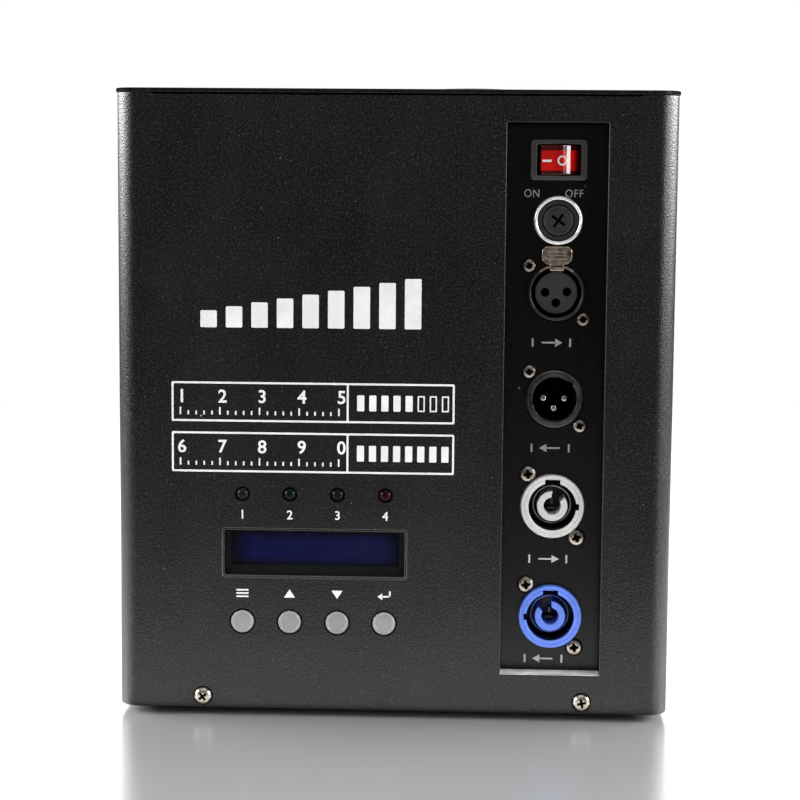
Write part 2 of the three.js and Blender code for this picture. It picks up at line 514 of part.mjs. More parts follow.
// ------------------------------------------------------ spark outlet and heat
{
  const { x, y } = OUTLET;
  const t = B + LID_TOP;
  piece('outlet_collar', turnZ([[13, t + COLLAR_H - 0.6], [13.6, t + COLLAR_H], [COLLAR_R - 1.4, t + COLLAR_H], [COLLAR_R - 0.9, t + COLLAR_H - 0.5],
    [COLLAR_R - 0.9, t + 1.4], [COLLAR_R, t + 0.5], [COLLAR_R, t + 0.05], [14.6, t + 0.05], [14.6, t - 7], [13, t - 7], [13, t + COLLAR_H - 0.6]], x, y, 0, 24), LOOK.black);
  let tube = turnZ(ring(11.3, 12.5, B + 88.3, B + 236), x, y, 0, 20);
  // side entry for the granules, facing the feed tube
  const dir = new THREE.Vector3(FILLER.x - x, FILLER.y - y, 0).normalize();
  const entry = new THREE.Matrix4().makeTranslation(x + dir.x * 12, y + dir.y * 12, B + FEED_Z)
    .multiply(new THREE.Matrix4().makeRotationZ(Math.atan2(dir.y, dir.x) - Math.PI / 2));
  tube = minus(tube, solid(new THREE.CylinderGeometry(7.6, 7.6, 12, 14), entry));
  piece('spark_tube', tube, LOOK.stainless);
  const jacket = [[13, B + 92]];
  for (let i = 0; i < 3; i++) {
    const z = B + 92 + i * 12;
    jacket.push([23, z], [23, z + 9], [21, z + 10.5]);
  }
  jacket.push([23, B + 128], [23, B + 134], [13, B + 134], [13, B + 92]);
  piece('heater_jacket', turnZ(jacket, x, y, 0, 16), LOOK.ceramic);
}

// -------------------------------------------------------------------- blower
{
  const cx = 6;
  const cz = B + 50;
  const y0 = -26;
  const y1 = 4;
  const outline = (r, x0, x1, top) => {
    const s = new THREE.Shape();
    const pts = [new THREE.Vector2(x1, top), new THREE.Vector2(x0, top)];
    // left side of the duct down to the circle, round it, and up the right side
    const a0 = Math.acos((x0 - cx) / r);
    const n = 22;
    for (let i = 0; i <= n; i++) {
      const a = a0 + (2 * Math.PI - a0) * (i / n);
      pts.push(new THREE.Vector2(cx + r * Math.cos(a), cz + r * Math.sin(a)));
    }
    s.setFromPoints(pts);
    return s;
  };
  let housing = prismY(outline(35.5, 14.5, 41.5, B + 88), y0, y1);
  housing = minus(housing, prismY(outline(34, 16, 40, B + 86.5), y0 + 1.5, y1 - 1.5));
  housing = minus(housing, rodZ(11.3, B + 80, B + 90, OUTLET.x, OUTLET.y, 20));
  housing = minus(housing, rodY(19, y0 - 2, y0 + 2, cx, cz, 20));
  // motor behind, axle inside, legs to the base
  housing = union(housing, rodY(14, y1 - 0.5, y1 + 11, cx, cz, 18), rodY(2.2, y1 - 19, y1, cx, cz, 10));
  for (const x of [-26, 28]) housing = union(housing, box(x, x + 8, y0, y0 + 1.5, B + 2, B + 38), box(x, x + 8, y0, y1, B + 2, B + 3.5));
  piece('blower_housing', housing, LOOK.black);

  let wheel = turnY([[2.6, y1 - 3.2], [30, y1 - 3.2], [30, y1 - 5], [9, y1 - 5], [9, y1 - 21], [2.6, y1 - 21], [2.6, y1 - 3.2]], cx, cz, 18);
  for (let i = 0; i < 12; i++) {
    const m = at(cx, y1 - 14, cz)
      .multiply(new THREE.Matrix4().makeRotationY((i / 12) * 2 * Math.PI))
      .multiply(at(26, 0, 0))
      .multiply(new THREE.Matrix4().makeRotationY(0.6));
    wheel = union(wheel, solid(new THREE.BoxGeometry(8.5, 19, 1.2), m));
  }
  piece('blower_impeller', wheel, LOOK.black);
}

// ---------------------------------------------------------- hopper and feed
{
  const { x, y } = FILLER;
  const t = B + LID_TOP;
  piece('filler_cap', turnZ([[0, t - 7], [11.6, t - 7], [12.4, t - 6.2], [12.4, t + 0.1], [FILLER_CAP_R, t + 0.1], [FILLER_CAP_R, t + 0.9], [FILLER_CAP_R - 0.4, t + 1.3], [0, t + 1.3]], x, y, 0, 20), LOOK.white);
  const h = (v) => B + v;
  piece('granule_hopper', turnZ([
    [15, h(233.2)], [15, h(226)], [34, h(218)], [34, h(190)], [8, h(160)], [8, h(155.2)],
    [6.3, h(155.2)], [6.3, h(160.6)], [32.5, h(190.8)], [32.5, h(217.2)], [13.4, h(225.2)], [13.4, h(233.2)], [15, h(233.2)]], x, y, 0, 18), LOOK.stainless);

  // feed line: local +X runs from the hopper to the spark tube
  const line = new THREE.Group();
  line.position.set(x, y, B + FEED_Z);
  line.rotation.z = Math.atan2(OUTLET.y - y, OUTLET.x - x);
  machine.add(line);
  const span = Math.hypot(OUTLET.x - x, OUTLET.y - y);
  const alongX = (profile, seg) => {
    const g = new THREE.LatheGeometry(profile.map(([r, v]) => new THREE.Vector2(r, v)), seg);
    return solid(g, new THREE.Matrix4().makeRotationZ(-Math.PI / 2));
  };
  let tube = alongX([[7.8, span - 13.2], [9.3, span - 13.2], [9.3, -13], [2.9, -13], [2.9, -11.6], [7.8, -11.6], [7.8, span - 13.2]], 16);
  tube = minus(tube, rodZ(6, 3, 12, 0, 0, 12));
  piece('feed_tube', tube, LOOK.stainless, line);

  let auger = alongX([[0, -22], [2.2, -22], [2.2, span - 16], [0, span - 16]], 8);
  // flight: a thin helical web from the shaft out to the wall of the tube
  const turns = 5;
  const pitch = 14;
  const perTurn = 8;
  const n = Math.round(turns * perTurn);
  const verts = [];
  for (let i = 0; i <= n; i++) {
    const a = (i / perTurn) * 2 * Math.PI;
    const c = -6 + (i / perTurn) * pitch;
    for (const [r, dx] of [[1.4, -1.1], [7.1, -0.6], [7.1, 0.6], [1.4, 1.1]]) verts.push(c + dx, r * Math.cos(a), r * Math.sin(a));
  }
  const idx = [];
  for (let i = 0; i < n; i++) {
    for (let k = 0; k < 4; k++) {
      const a = 4 * i + k;
      const b = 4 * i + ((k + 1) % 4);
      idx.push(a, b, a + 4, b, b + 4, a + 4);
    }
  }
  idx.push(0, 2, 1, 0, 3, 2);
  const e = 4 * n;
  idx.push(e, e + 1, e + 2, e, e + 2, e + 3);
  const flight = new THREE.BufferGeometry();
  flight.setAttribute('position', new THREE.BufferAttribute(new Float32Array(verts), 3));
  flight.setIndex(idx);
  auger = union(auger, solid(flight));
  piece('feed_auger', auger, LOOK.zinc, line);

  let motor = alongX([[0, -14], [12, -14], [12, -28], [11, -28], [11, -43], [4, -43], [4, -45], [0, -45]], 18);
  motor = minus(motor, alongX([[0, -10], [2.6, -10], [2.6, -24], [0, -24]], 10));
  piece('feed_motor', motor, LOOK.zinc, line);
}

// -------------------------------------------------------------- power supply
{
  // closed metal case with a row of terminals on its left end
  const z0 = B + 2;
  let psu = box(-75, 75, 26, 86, z0, z0 + 36);
  psu = minus(psu, box(-80, -62, 20, 90, z0 + 14, z0 + 40));
  for (let i = 0; i < 6; i++) psu = union(psu, box(-74, -63, 31 + i * 8.6, 31 + i * 8.6 + 6.4, z0 + 13, z0 + 20));
  for (let i = 0; i < 9; i++) psu = minus(psu, box(-45 + i * 12, -40 + i * 12, 34, 78, z0 + 35, z0 + 40));
  piece('power_supply', psu, LOOK.zinc);
}

export default machine;
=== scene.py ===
import math
import random

import bpy
import bmesh
from mathutils import Matrix, Vector
from mathutils.geometry import tessellate_polygon


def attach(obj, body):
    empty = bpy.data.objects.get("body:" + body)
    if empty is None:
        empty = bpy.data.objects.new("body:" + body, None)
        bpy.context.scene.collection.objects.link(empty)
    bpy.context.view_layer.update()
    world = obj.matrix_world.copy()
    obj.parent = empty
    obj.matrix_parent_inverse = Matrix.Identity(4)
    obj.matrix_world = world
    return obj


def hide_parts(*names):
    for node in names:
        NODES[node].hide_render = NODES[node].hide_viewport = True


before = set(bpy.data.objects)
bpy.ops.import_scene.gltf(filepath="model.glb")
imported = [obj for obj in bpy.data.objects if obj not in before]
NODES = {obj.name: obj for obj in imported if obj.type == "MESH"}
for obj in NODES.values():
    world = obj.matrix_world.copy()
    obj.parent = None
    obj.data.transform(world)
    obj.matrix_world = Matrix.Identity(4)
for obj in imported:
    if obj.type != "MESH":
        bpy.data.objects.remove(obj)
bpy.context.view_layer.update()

PI = math.pi

# ------------------------------------------------------------------ dimensions
# millimetres, the same numbers as the CAD; B is the height of the feet
B = 3.0
BODY_W, BODY_D, SHEET, CORNER_R = 210.0, 192.0, 1.5, 8.0
BODY_TOP, CORNER_TOP, CORNER_RUN = 232.8, 233.4, 14.5
LID_UNDER, LID_TOP, LID_PROUD = 233.5, 235.0, 0.5
PANEL_X, PANEL_W, PANEL_Z0, PANEL_Z1 = 60.0, 37.6, 15.0, 223.1
FRONT, BACK = -96.0, 96.0
IN_FRONT, IN_BACK = FRONT + SHEET, BACK - SHEET
F = FRONT + 8.0                       # front surface of the connector panel
PANEL_T = 1.2
ROCKER = (60.7, 209.5, 21.2, 15.1)
FUSE = (60.8, 187.0)
DMX_OUT = (60.5, 160.0, 10.65, 10.3, 10.0)
DMX_IN = (60.5, 119.8, 10.95, 9.7, 10.2)
POWER_OUT = (60.3, 78.9, 12.0, 9.4, 12.1)
POWER_IN = (60.1, 36.3, 12.0, 9.4, 12.1)
LCD = (-29.7, 60.4, 69.8, 18.6)
LAMP_X, LAMP_Z = (-57.1, -39.1, -21.0, -2.9), 83.0
BUTTON_X, BUTTON_Z, BUTTON_R = (-57.1, -39.1, -21.0, -3.1), 33.9, 4.35
BASE_SCREW_X, BASE_SCREW_Z = 72.3, 4.6
FAN_Z, FAN_SIZE, FAN_PITCH, FAN_DEPTH = 173.0, 70.0, 61.5, 25.0
SLOT_PITCH, SLOT_W = 7.0, 4.1
SLOT_HALF = (32.0, 30.8, 27.7, 22.7, 11.9)
OUTLET, COLLAR_R, COLLAR_H = (28.0, -11.0), 19.0, 4.0
FILLER, FILLER_CAP_R = (-55.0, 30.0), 14.0
FOOT_X, FOOT_Y = 85.0, 76.0


# ------------------------------------------------------------------- materials
def shader(name, base, rough, metal=0.0, spec=0.5, coat=0.0, coat_rough=0.05,
           trans=0.0, ior=1.5, glow=None, glow_strength=0.0, sheen=0.0):
    m = bpy.data.materials.new(name)
    m.use_nodes = True
    nt = m.node_tree
    p = nt.nodes["Principled BSDF"]
    p.inputs["Base Color"].default_value = (*base, 1)
    p.inputs["Roughness"].default_value = rough
    p.inputs["Metallic"].default_value = metal
    p.inputs["Specular IOR Level"].default_value = spec
    p.inputs["Coat Weight"].default_value = coat
    p.inputs["Coat Roughness"].default_value = coat_rough
    p.inputs["Transmission Weight"].default_value = trans
    p.inputs["IOR"].default_value = ior
    p.inputs["Sheen Weight"].default_value = sheen
    if glow:
        p.inputs["Emission Color"].default_value = (*glow, 1)
        p.inputs["Emission Strength"].default_value = glow_strength
    m.diffuse_color = (*base, 1)
    return m, nt, p


def coords(nt, stretch=(1, 1, 1)):
    tc = nt.nodes.new("ShaderNodeTexCoord")
    mp = nt.nodes.new("ShaderNodeMapping")
    mp.inputs["Scale"].default_value = stretch
    nt.links.new(tc.outputs["Object"], mp.inputs["Vector"])
    return mp.outputs["Vector"]


def noise(nt, vec, scale, detail=3.0, rough=0.55, distort=0.0):
    n = nt.nodes.new("ShaderNodeTexNoise")
    n.inputs["Scale"].default_value = scale
    n.inputs["Detail"].default_value = detail
    n.inputs["Roughness"].default_value = rough
    n.inputs["Distortion"].default_value = distort
    nt.links.new(vec, n.inputs["Vector"])
    return n.outputs["Fac"]


def ramp(nt, fac, lo, hi, out_lo=0.0, out_hi=1.0):
    r = nt.nodes.new("ShaderNodeMapRange")
    r.inputs["From Min"].default_value = lo
    r.inputs["From Max"].default_value = hi
    r.inputs["To Min"].default_value = out_lo
    r.inputs["To Max"].default_value = out_hi
    nt.links.new(fac, r.inputs["Value"])
    return r.outputs["Result"]


def mix(nt, fac, a, b, blend="MIX"):
    m = nt.nodes.new("ShaderNodeMix")
    m.data_type = "RGBA"
    m.blend_type = blend
    for key, val in ((0, fac), (6, a), (7, b)):
        if isinstance(val, (int, float)):
            m.inputs[key].default_value = val
        elif isinstance(val, (tuple, list)):
            m.inputs[key].default_value = (*val[:3], 1)
        else:
            nt.links.new(val, m.inputs[key])
    return m.outputs[2]


def times(nt, a, b):
    m = nt.nodes.new("ShaderNodeMath")
    m.operation = "MULTIPLY"
    for i, v in enumerate((a, b)):
        if isinstance(v, (int, float)):
            m.inputs[i].default_value = v
        else:
            nt.links.new(v, m.inputs[i])
    return m.outputs[0]


def bump(nt, p, height, strength, distance, normal=None):
    b = nt.nodes.new("ShaderNodeBump")
    b.inputs["Strength"].default_value = strength
    b.inputs["Distance"].default_value = distance
    nt.links.new(height, b.inputs["Height"])
    if normal is not None:
        nt.links.new(normal, b.inputs["Normal"])
    nt.links.new(b.outputs["Normal"], p.inputs["Normal"])
    return b.outputs["Normal"]


def specks(nt, vec, scale, size, share):
    # small separate dots, such as dust, on a share of the cells
    v = nt.nodes.new("ShaderNodeTexVoronoi")
    v.inputs["Scale"].default_value = scale
    v.inputs["Randomness"].default_value = 1.0
    nt.links.new(vec, v.inputs["Vector"])
    dot = ramp(nt, v.outputs["Distance"], size, size * 0.5, 0.0, 1.0)
    sep = nt.nodes.new("ShaderNodeSeparateColor")
    nt.links.new(v.outputs["Color"], sep.inputs["Color"])
    pick = ramp(nt, sep.outputs["Red"], 1 - share, 1 - share + 0.02, 0.0, 1.0)
    return times(nt, dot, pick)


def powder_coat(name, dark, light, rough=0.45, spec=0.5, dust=1.0, grain=1.0):
    m, nt, p = shader(name, light, rough, 0.0, spec)
    vec = coords(nt)
    fine = noise(nt, vec, 1250, 1.5, 0.55)
    broad = noise(nt, vec, 22, 3, 0.55, 0.3)
    col = mix(nt, ramp(nt, fine, 0.46, 0.72), dark, light)
    warm = tuple(c * k for c, k in zip(light, (1.5, 1.25, 1.1)))
    col = mix(nt, times(nt, ramp(nt, broad, 0.50, 0.80), 0.22), col, warm)
    tiny = specks(nt, vec, 620, 0.20, 0.26)
    dots = specks(nt, vec, 140, 0.050, 0.26)
    big = specks(nt, vec, 42, 0.026, 0.40)
    col = mix(nt, times(nt, tiny, 0.12 * dust), col, (0.30, 0.29, 0.27))
    col = mix(nt, times(nt, dots, 0.30 * dust), col, (0.34, 0.34, 0.33))
    col = mix(nt, times(nt, big, 0.55 * dust), col, (0.5, 0.49, 0.46))
    nt.links.new(col, p.inputs["Base Color"])
    smear = noise(nt, coords(nt, (1, 1, 0.35)), 38, 4, 0.6, 0.6)
    nt.links.new(ramp(nt, smear, 0.3, 0.75, rough - 0.03, rough + 0.05), p.inputs["Roughness"])
    bump(nt, p, noise(nt, vec, 1850, 0.5, 0.5), 1.0 * grain, 0.00010)
    return m


def metal(name, base, rough, streak=0.0, stain=0.25, tint=None, scale=260):
    m, nt, p = shader(name, base, rough, 1.0)
    vec = coords(nt)
    cloud = noise(nt, vec, scale, 4, 0.6, 0.4)
    shade = tuple(c * (1 - stain) for c in (tint or base))
    nt.links.new(mix(nt, ramp(nt, cloud, 0.35, 0.7), shade, base), p.inputs["Base Color"])
    nt.links.new(ramp(nt, cloud, 0.3, 0.75, rough * 0.75, min(1.0, rough * 1.5)), p.inputs["Roughness"])
    if streak:
        brushed = noise(nt, coords(nt, (0.06, 1, 1)), 2600, 2, 0.5)
        bump(nt, p, brushed, streak, 0.00003)
    else:
        bump(nt, p, noise(nt, vec, 1800, 2), 0.08, 0.00003)
    return m


def plastic(name, base, rough, spec=0.5, coat=0.0, vary=0.12, grain=0.1, grain_scale=1400, sub=0.0):
    m, nt, p = shader(name, base, rough, 0.0, spec, coat, 0.08)
    vec = coords(nt)
    cloud = noise(nt, vec, 120, 3, 0.5)
    lo = tuple(c * (1 - vary) for c in base)
    hi = tuple(min(1.0, c * (1 + vary)) for c in base)
    nt.links.new(mix(nt, ramp(nt, cloud, 0.35, 0.68), lo, hi), p.inputs["Base Color"])
    nt.links.new(ramp(nt, cloud, 0.3, 0.7, rough * 0.85, min(1.0, rough * 1.2)), p.inputs["Roughness"])
    bump(nt, p, noise(nt, vec, grain_scale, 2), grain, 0.00006)
    if sub:
        p.inputs["Subsurface Weight"].default_value = sub
        p.inputs["Subsurface Radius"].default_value = (0.002, 0.002, 0.002)
    return m


MAT = {}
MAT["casing"] = powder_coat("casing", (0.0004, 0.0004, 0.0005), (0.0150, 0.0149, 0.0147), 0.32, 0.39)
# the three edge paints below are lighter copies of the casing paint for bevelled cut-out edges: painted highlights of
# edges catching light
MAT["casing_edge_painted_highlight"] = powder_coat("casing_edge_painted_highlight", (0.034, 0.033, 0.032), (0.112, 0.106, 0.098), 0.40, 0.5, 0.3, 0.4)
MAT["panel_edge_painted_highlight"] = powder_coat("panel_edge_painted_highlight", (0.010, 0.010, 0.0097), (0.024, 0.0235, 0.023), 0.42, 0.3, 0.3, 0.4)
MAT["lcd_rim_painted_highlight"] = powder_coat("lcd_rim_painted_highlight", (0.028, 0.028, 0.027), (0.060, 0.059, 0.058), 0.45, 0.4, 0.3, 0.5)
MAT["panel"] = powder_coat("panel", (0.0006, 0.0006, 0.0006), (0.0030, 0.0029, 0.0028), 0.28, 0.27, 0.35, 0.4)
# light grey for the upward bottom edge of the connector cut-out and tray: painted light from above
MAT["sill_painted_light"] = plastic("sill_painted_light", (0.66, 0.64, 0.61), 0.5, 0.5, 0.0, 0.22, 0.2, 700)
MAT["nickel"] = metal("nickel", (0.50, 0.455, 0.41), 0.27, 0.0, 0.28, (0.44, 0.36, 0.29), 300)
MAT["nickel_dark"] = metal("nickel_dark", (0.24, 0.212, 0.182), 0.25, 0.0, 0.30, (0.205, 0.168, 0.136), 300)
MAT["brass_nickel"] = metal("brass_nickel", (0.58, 0.49, 0.40), 0.30, 0.0, 0.35, (0.45, 0.33, 0.23), 420)
MAT["chrome"] = metal("chrome", (0.95, 0.95, 0.96), 0.34, 0.0, 0.05)
MAT["dark_zinc"] = metal("dark_zinc", (0.16, 0.155, 0.15), 0.34, 0.0, 0.3)
MAT["grey_zinc"] = metal("grey_zinc", (0.078, 0.076, 0.073), 0.33, 0.0, 0.25)
MAT["zinc_plate"] = metal("zinc_plate", (0.55, 0.56, 0.57), 0.38, 0.3, 0.22)
MAT["aluminium"] = metal("aluminium", (0.72, 0.73, 0.74), 0.34, 0.3, 0.12)
MAT["stainless"] = metal("stainless", (0.60, 0.58, 0.56), 0.30, 0.35, 0.18)
MAT["pin_silver"] = metal("pin_silver", (0.95, 0.88, 0.78), 0.18, 0.0, 0.1)
MAT["black_plastic"] = plastic("black_plastic", (0.010, 0.010, 0.0105), 0.38, 0.45)
# hole: near-black, put on the insides of holes, recesses and slots as painted shade
MAT["hole"] = plastic("hole", (0.0012, 0.0012, 0.0012), 0.85, 0.1, 0.0, 0.1, 0.0)
MAT["insert_grey"] = plastic("insert_grey", (0.017, 0.017, 0.0175), 0.5, 0.4, 0.0, 0.15, 0.25)
MAT["bezel"] = plastic("bezel", (0.036, 0.035, 0.033), 0.36, 0.5, 0.0, 0.15, 0.2)
MAT["fuse_cap"] = plastic("fuse_cap", (0.012, 0.012, 0.012), 0.42, 0.5, 0.0, 0.15, 0.25)
MAT["rubber"] = plastic("rubber", (0.012, 0.012, 0.012), 0.8, 0.3, 0.0, 0.2, 0.5, 900)
MAT["white_plastic"] = plastic("white_plastic", (0.53, 0.53, 0.52), 0.36, 0.5, 0.0, 0.05, 0.08, 900)
MAT["blue_plastic"] = plastic("blue_plastic", (0.098, 0.190, 0.66), 0.36, 0.5, 0.0, 0.1, 0.08, 900)
# the two plastics below are dark copies of the socket plastics for their insides: painted shade
MAT["blue_recess_shade"] = plastic("blue_recess_shade", (0.006, 0.009, 0.05), 0.45, 0.4)
MAT["white_recess_shade"] = plastic("white_recess_shade", (0.016, 0.016, 0.017), 0.45, 0.4)
MAT["button_grey"] = plastic("button_grey", (0.21, 0.21, 0.213), 0.5, 0.4, 0.0, 0.05, 0.15)
MAT["cap_white"] = plastic("cap_white", (0.68, 0.68, 0.675), 0.28, 0.5, 0.3, 0.04, 0.05)
MAT["collar_black"] = plastic("collar_black", (0.008, 0.008, 0.008), 0.24, 0.5, 0.4, 0.2, 0.1)
MAT["board"] = plastic("board", (0.012, 0.085, 0.035), 0.4, 0.5, 0.3, 0.35, 0.2, 500)
MAT["ceramic"] = plastic("ceramic", (0.74, 0.68, 0.58), 0.75, 0.3, 0.0, 0.1, 0.4, 700)
MAT["ink"] = plastic("ink", (0.66, 0.66, 0.655), 0.55, 0.3, 0.0, 0.06, 0.1, 1600)
MAT["ink_dim"] = plastic("ink_dim", (0.26, 0.253, 0.247), 0.55, 0.3, 0.0, 0.15, 0.1, 1600)
MAT["ink_mid"] = plastic("ink_mid", (0.46, 0.45, 0.44), 0.55, 0.3, 0.0, 0.12, 0.1, 1600)
# near-black: the display module's frame, and painted shade on the lid's inner rim and the lamp and button hole edges
MAT["gasket_and_painted_shade"] = plastic("gasket_and_painted_shade", (0.0022, 0.0022, 0.0022), 0.7, 0.12, 0.0, 0.2, 0.2)
MAT["wire_red"] = plastic("wire_red", (0.42, 0.016, 0.010), 0.4, 0.5)
MAT["wire_black"] = plastic("wire_black", (0.012, 0.012, 0.012), 0.4, 0.5)
MAT["foil_label"] = metal("foil_label", (0.62, 0.60, 0.58), 0.5, 0.0, 0.14, None, 140)
MAT["fan_black"] = plastic("fan_black", (0.028, 0.028, 0.0285), 0.28, 0.7, 0.0, 0.15, 0.08)
MAT["foil_label"].node_tree.nodes["Principled BSDF"].inputs["Metallic"].default_value = 0.6


def rocker_red():
    # clear red shell, its middle band bright and painted shade darkening it towards its upper and lower edges
    m, nt, p = shader("rocker_red", (0.50, 0.006, 0.004), 0.14, 0.0, 0.5, 0.5, 0.05, 0.0, 1.49)
    vec = coords(nt)
    tc = nt.nodes.new("ShaderNodeTexCoord")
    sep = nt.nodes.new("ShaderNodeSeparateXYZ")
    nt.links.new(tc.outputs["Object"], sep.inputs["Vector"])
    zc = (B + ROCKER[1]) * 1e-3
    # painted shade: this mask is 1 in the middle band and 0 above and below it, where the red is darkened
    hi = ramp(nt, sep.outputs["Z"], zc + 0.0036, zc + 0.0033)
    lo = ramp(nt, sep.outputs["Z"], zc - 0.0041, zc - 0.0038)
    unshaded_band = times(nt, hi, lo)
    cloud = noise(nt, vec, 160, 2, 0.5)
    col = mix(nt, ramp(nt, cloud, 0.3, 0.7), (0.34, 0.004, 0.003), (0.56, 0.008, 0.005))
    nt.links.new(mix(nt, unshaded_band, (0.045, 0.002, 0.002), col), p.inputs["Base Color"])
    nt.links.new(ramp(nt, cloud, 0.3, 0.7, 0.12, 0.2), p.inputs["Roughness"])
    return m


def lens(name, tint, rough=0.26):
    m, nt, p = shader(name, tint, rough, 0.0, 0.07, 0.0, 0.03, 0.0, 1.5)
    vec = coords(nt)
    cloud = noise(nt, vec, 600, 2, 0.5)
    dark = tuple(c * 0.45 for c in tint)
    nt.links.new(mix(nt, ramp(nt, cloud, 0.35, 0.65), dark, tint), p.inputs["Base Color"])
    return m


def glass(name, tint, rough=0.03):
    m, nt, p = shader(name, tint, rough, 0.0, 0.5, 0.0, 0.03, 1.0, 1.5)
    nt.links.new(ramp(nt, noise(nt, coords(nt), 60, 3, 0.5), 0.3, 0.7, rough, rough * 2.5), p.inputs["Roughness"])
    return m


def window():
    # thin acrylic sheet: mostly clear with its own gloss
    m, nt, p = shader("window", (0.010, 0.010, 0.012), 0.12, 0.0, 0.06)
    p.inputs["Alpha"].default_value = 0.12
    vec = coords(nt)
    nt.links.new(ramp(nt, noise(nt, vec, 90, 4, 0.6), 0.3, 0.7, 0.05, 0.14), p.inputs["Roughness"])
    return m


def display():
    # unlit liquid-crystal glass: navy, with painted shade darkening it towards its edges and painted light lightening
    # it towards the right
    m, nt, p = shader("display", (0.005, 0.006, 0.035), 0.3, 0.0, 0.05)
    tc = nt.nodes.new("ShaderNodeTexCoord")
    sep = nt.nodes.new("ShaderNodeSeparateXYZ")
    nt.links.new(tc.outputs["Object"], sep.inputs["Vector"])
    x0, x1 = (LCD[0] - 32.2) * 1e-3, (LCD[0] + 32.2) * 1e-3
    z0, z1 = (B + LCD[1] - 5.0) * 1e-3, (B + LCD[1] + 7.9) * 1e-3
    fx = times(nt, ramp(nt, sep.outputs["X"], x0, x0 + 0.008), ramp(nt, sep.outputs["X"], x1, x1 - 0.008))
    fz = times(nt, ramp(nt, sep.outputs["Z"], z0, z0 + 0.0034), ramp(nt, sep.outputs["Z"], z1, z1 - 0.0030))
    soft = times(nt, fx, fz)
    col = mix(nt, soft, (0.0004, 0.0005, 0.0015), (0.0022, 0.0036, 0.046))
    # painted light: the navy is lightened towards the right
    right = ramp(nt, sep.outputs["X"], x0 + 0.012, x1 - 0.016)
    col = mix(nt, times(nt, right, times(nt, soft, 0.6)), col, (0.0065, 0.0075, 0.044))
    nt.links.new(col, p.inputs["Base Color"])
    nt.links.new(ramp(nt, noise(nt, coords(nt), 70, 3), 0.3, 0.7, 0.2, 0.3), p.inputs["Roughness"])
    return m


MAT["rocker_red"] = rocker_red()
MAT["lens_clear"] = lens("lens_clear", (0.010, 0.010, 0.0104))
MAT["lens_green"] = lens("lens_green", (0.0015, 0.0085, 0.003))
MAT["lens_dim"] = lens("lens_dim", (0.005, 0.005, 0.0057))
MAT["lens_red"] = lens("lens_red", (0.017, 0.0015, 0.0015))
MAT["glass"] = glass("fuse_glass", (0.95, 0.97, 0.96))
MAT["window"] = window()
MAT["display"] = display()


# --------------------------------------------------------------- mesh builders
# all builders work in millimetres; emit() turns the result into metres
def emit(bm, name, mats, body="machine", replaces=(), angle=28, weighted=True, merge=1e-4):
    bmesh.ops.remove_doubles(bm, verts=bm.verts, dist=merge)
    bmesh.ops.recalc_face_normals(bm, faces=bm.faces)
    me = bpy.data.meshes.new(name)
    bm.to_mesh(me)
    bm.free()
    me.transform(Matrix.Scale(0.001, 4))
    return place(me, name, mats, body, replaces, angle, weighted)


def place(me, name, mats, body, replaces=(), angle=28, weighted=True):
    for m in mats:
        me.materials.append(MAT[m])
    me.polygons.foreach_set("use_smooth", [True] * len(me.polygons))
    me.set_sharp_from_angle(angle=math.radians(angle))
    ob = bpy.data.objects.new(name, me)
    bpy.context.scene.collection.objects.link(ob)
    if weighted:
        w = ob.modifiers.new("normals", "WEIGHTED_NORMAL")
        w.keep_sharp = True
        w.weight = 100
    if body:
        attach(ob, body)
    if replaces:
        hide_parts(*([replaces] if isinstance(replaces, str) else replaces))
    return ob


def rrect(cx, cy, w, h, r, n=8):
    pts = []
    for px, py, a0 in ((1, 1, 0), (-1, 1, 1), (-1, -1, 2), (1, -1, 3)):
        for i in range(n + 1):
            a = (a0 + i / n) * PI / 2
            pts.append((cx + px * (w / 2 - r) + r * math.cos(a), cy + py * (h / 2 - r) + r * math.sin(a)))
    return pts


def circle(cx, cy, r, n=32, a0=0.0):
    return [(cx + r * math.cos(a0 + 2 * PI * i / n), cy + r * math.sin(a0 + 2 * PI * i / n)) for i in range(n)]


def ccw(pts):
    a = sum(p[0] * q[1] - q[0] * p[1] for p, q in zip(pts, pts[1:] + pts[:1]))
    return pts if a > 0 else pts[::-1]


def offset(pts, d):
    # moves a closed counter-clockwise outline outwards by d
    out = []
    n = len(pts)
    for i in range(n):
        a, p, b = Vector(pts[i - 1]), Vector(pts[i]), Vector(pts[(i + 1) % n])
        e1, e2 = (p - a).normalized(), (b - p).normalized()
        n1, n2 = Vector((e1.y, -e1.x)), Vector((e2.y, -e2.x))
        m = n1 + n2
        if m.length < 1e-6:
            m = n1
        m = m.normalized()
        k = d / max(0.35, m.dot(n1))
        out.append((p.x + m.x * k, p.y + m.y * k))
    return out


def edge_levels(t, b, n, both=True):
    lev = [(b * (1 - math.sin(i / n * PI / 2)), b * (1 - math.cos(i / n * PI / 2))) for i in range(n + 1)]
    if both:
        return lev + [(o, t - d) for o, d in reversed(lev)]
    return lev + [(0.0, t)]


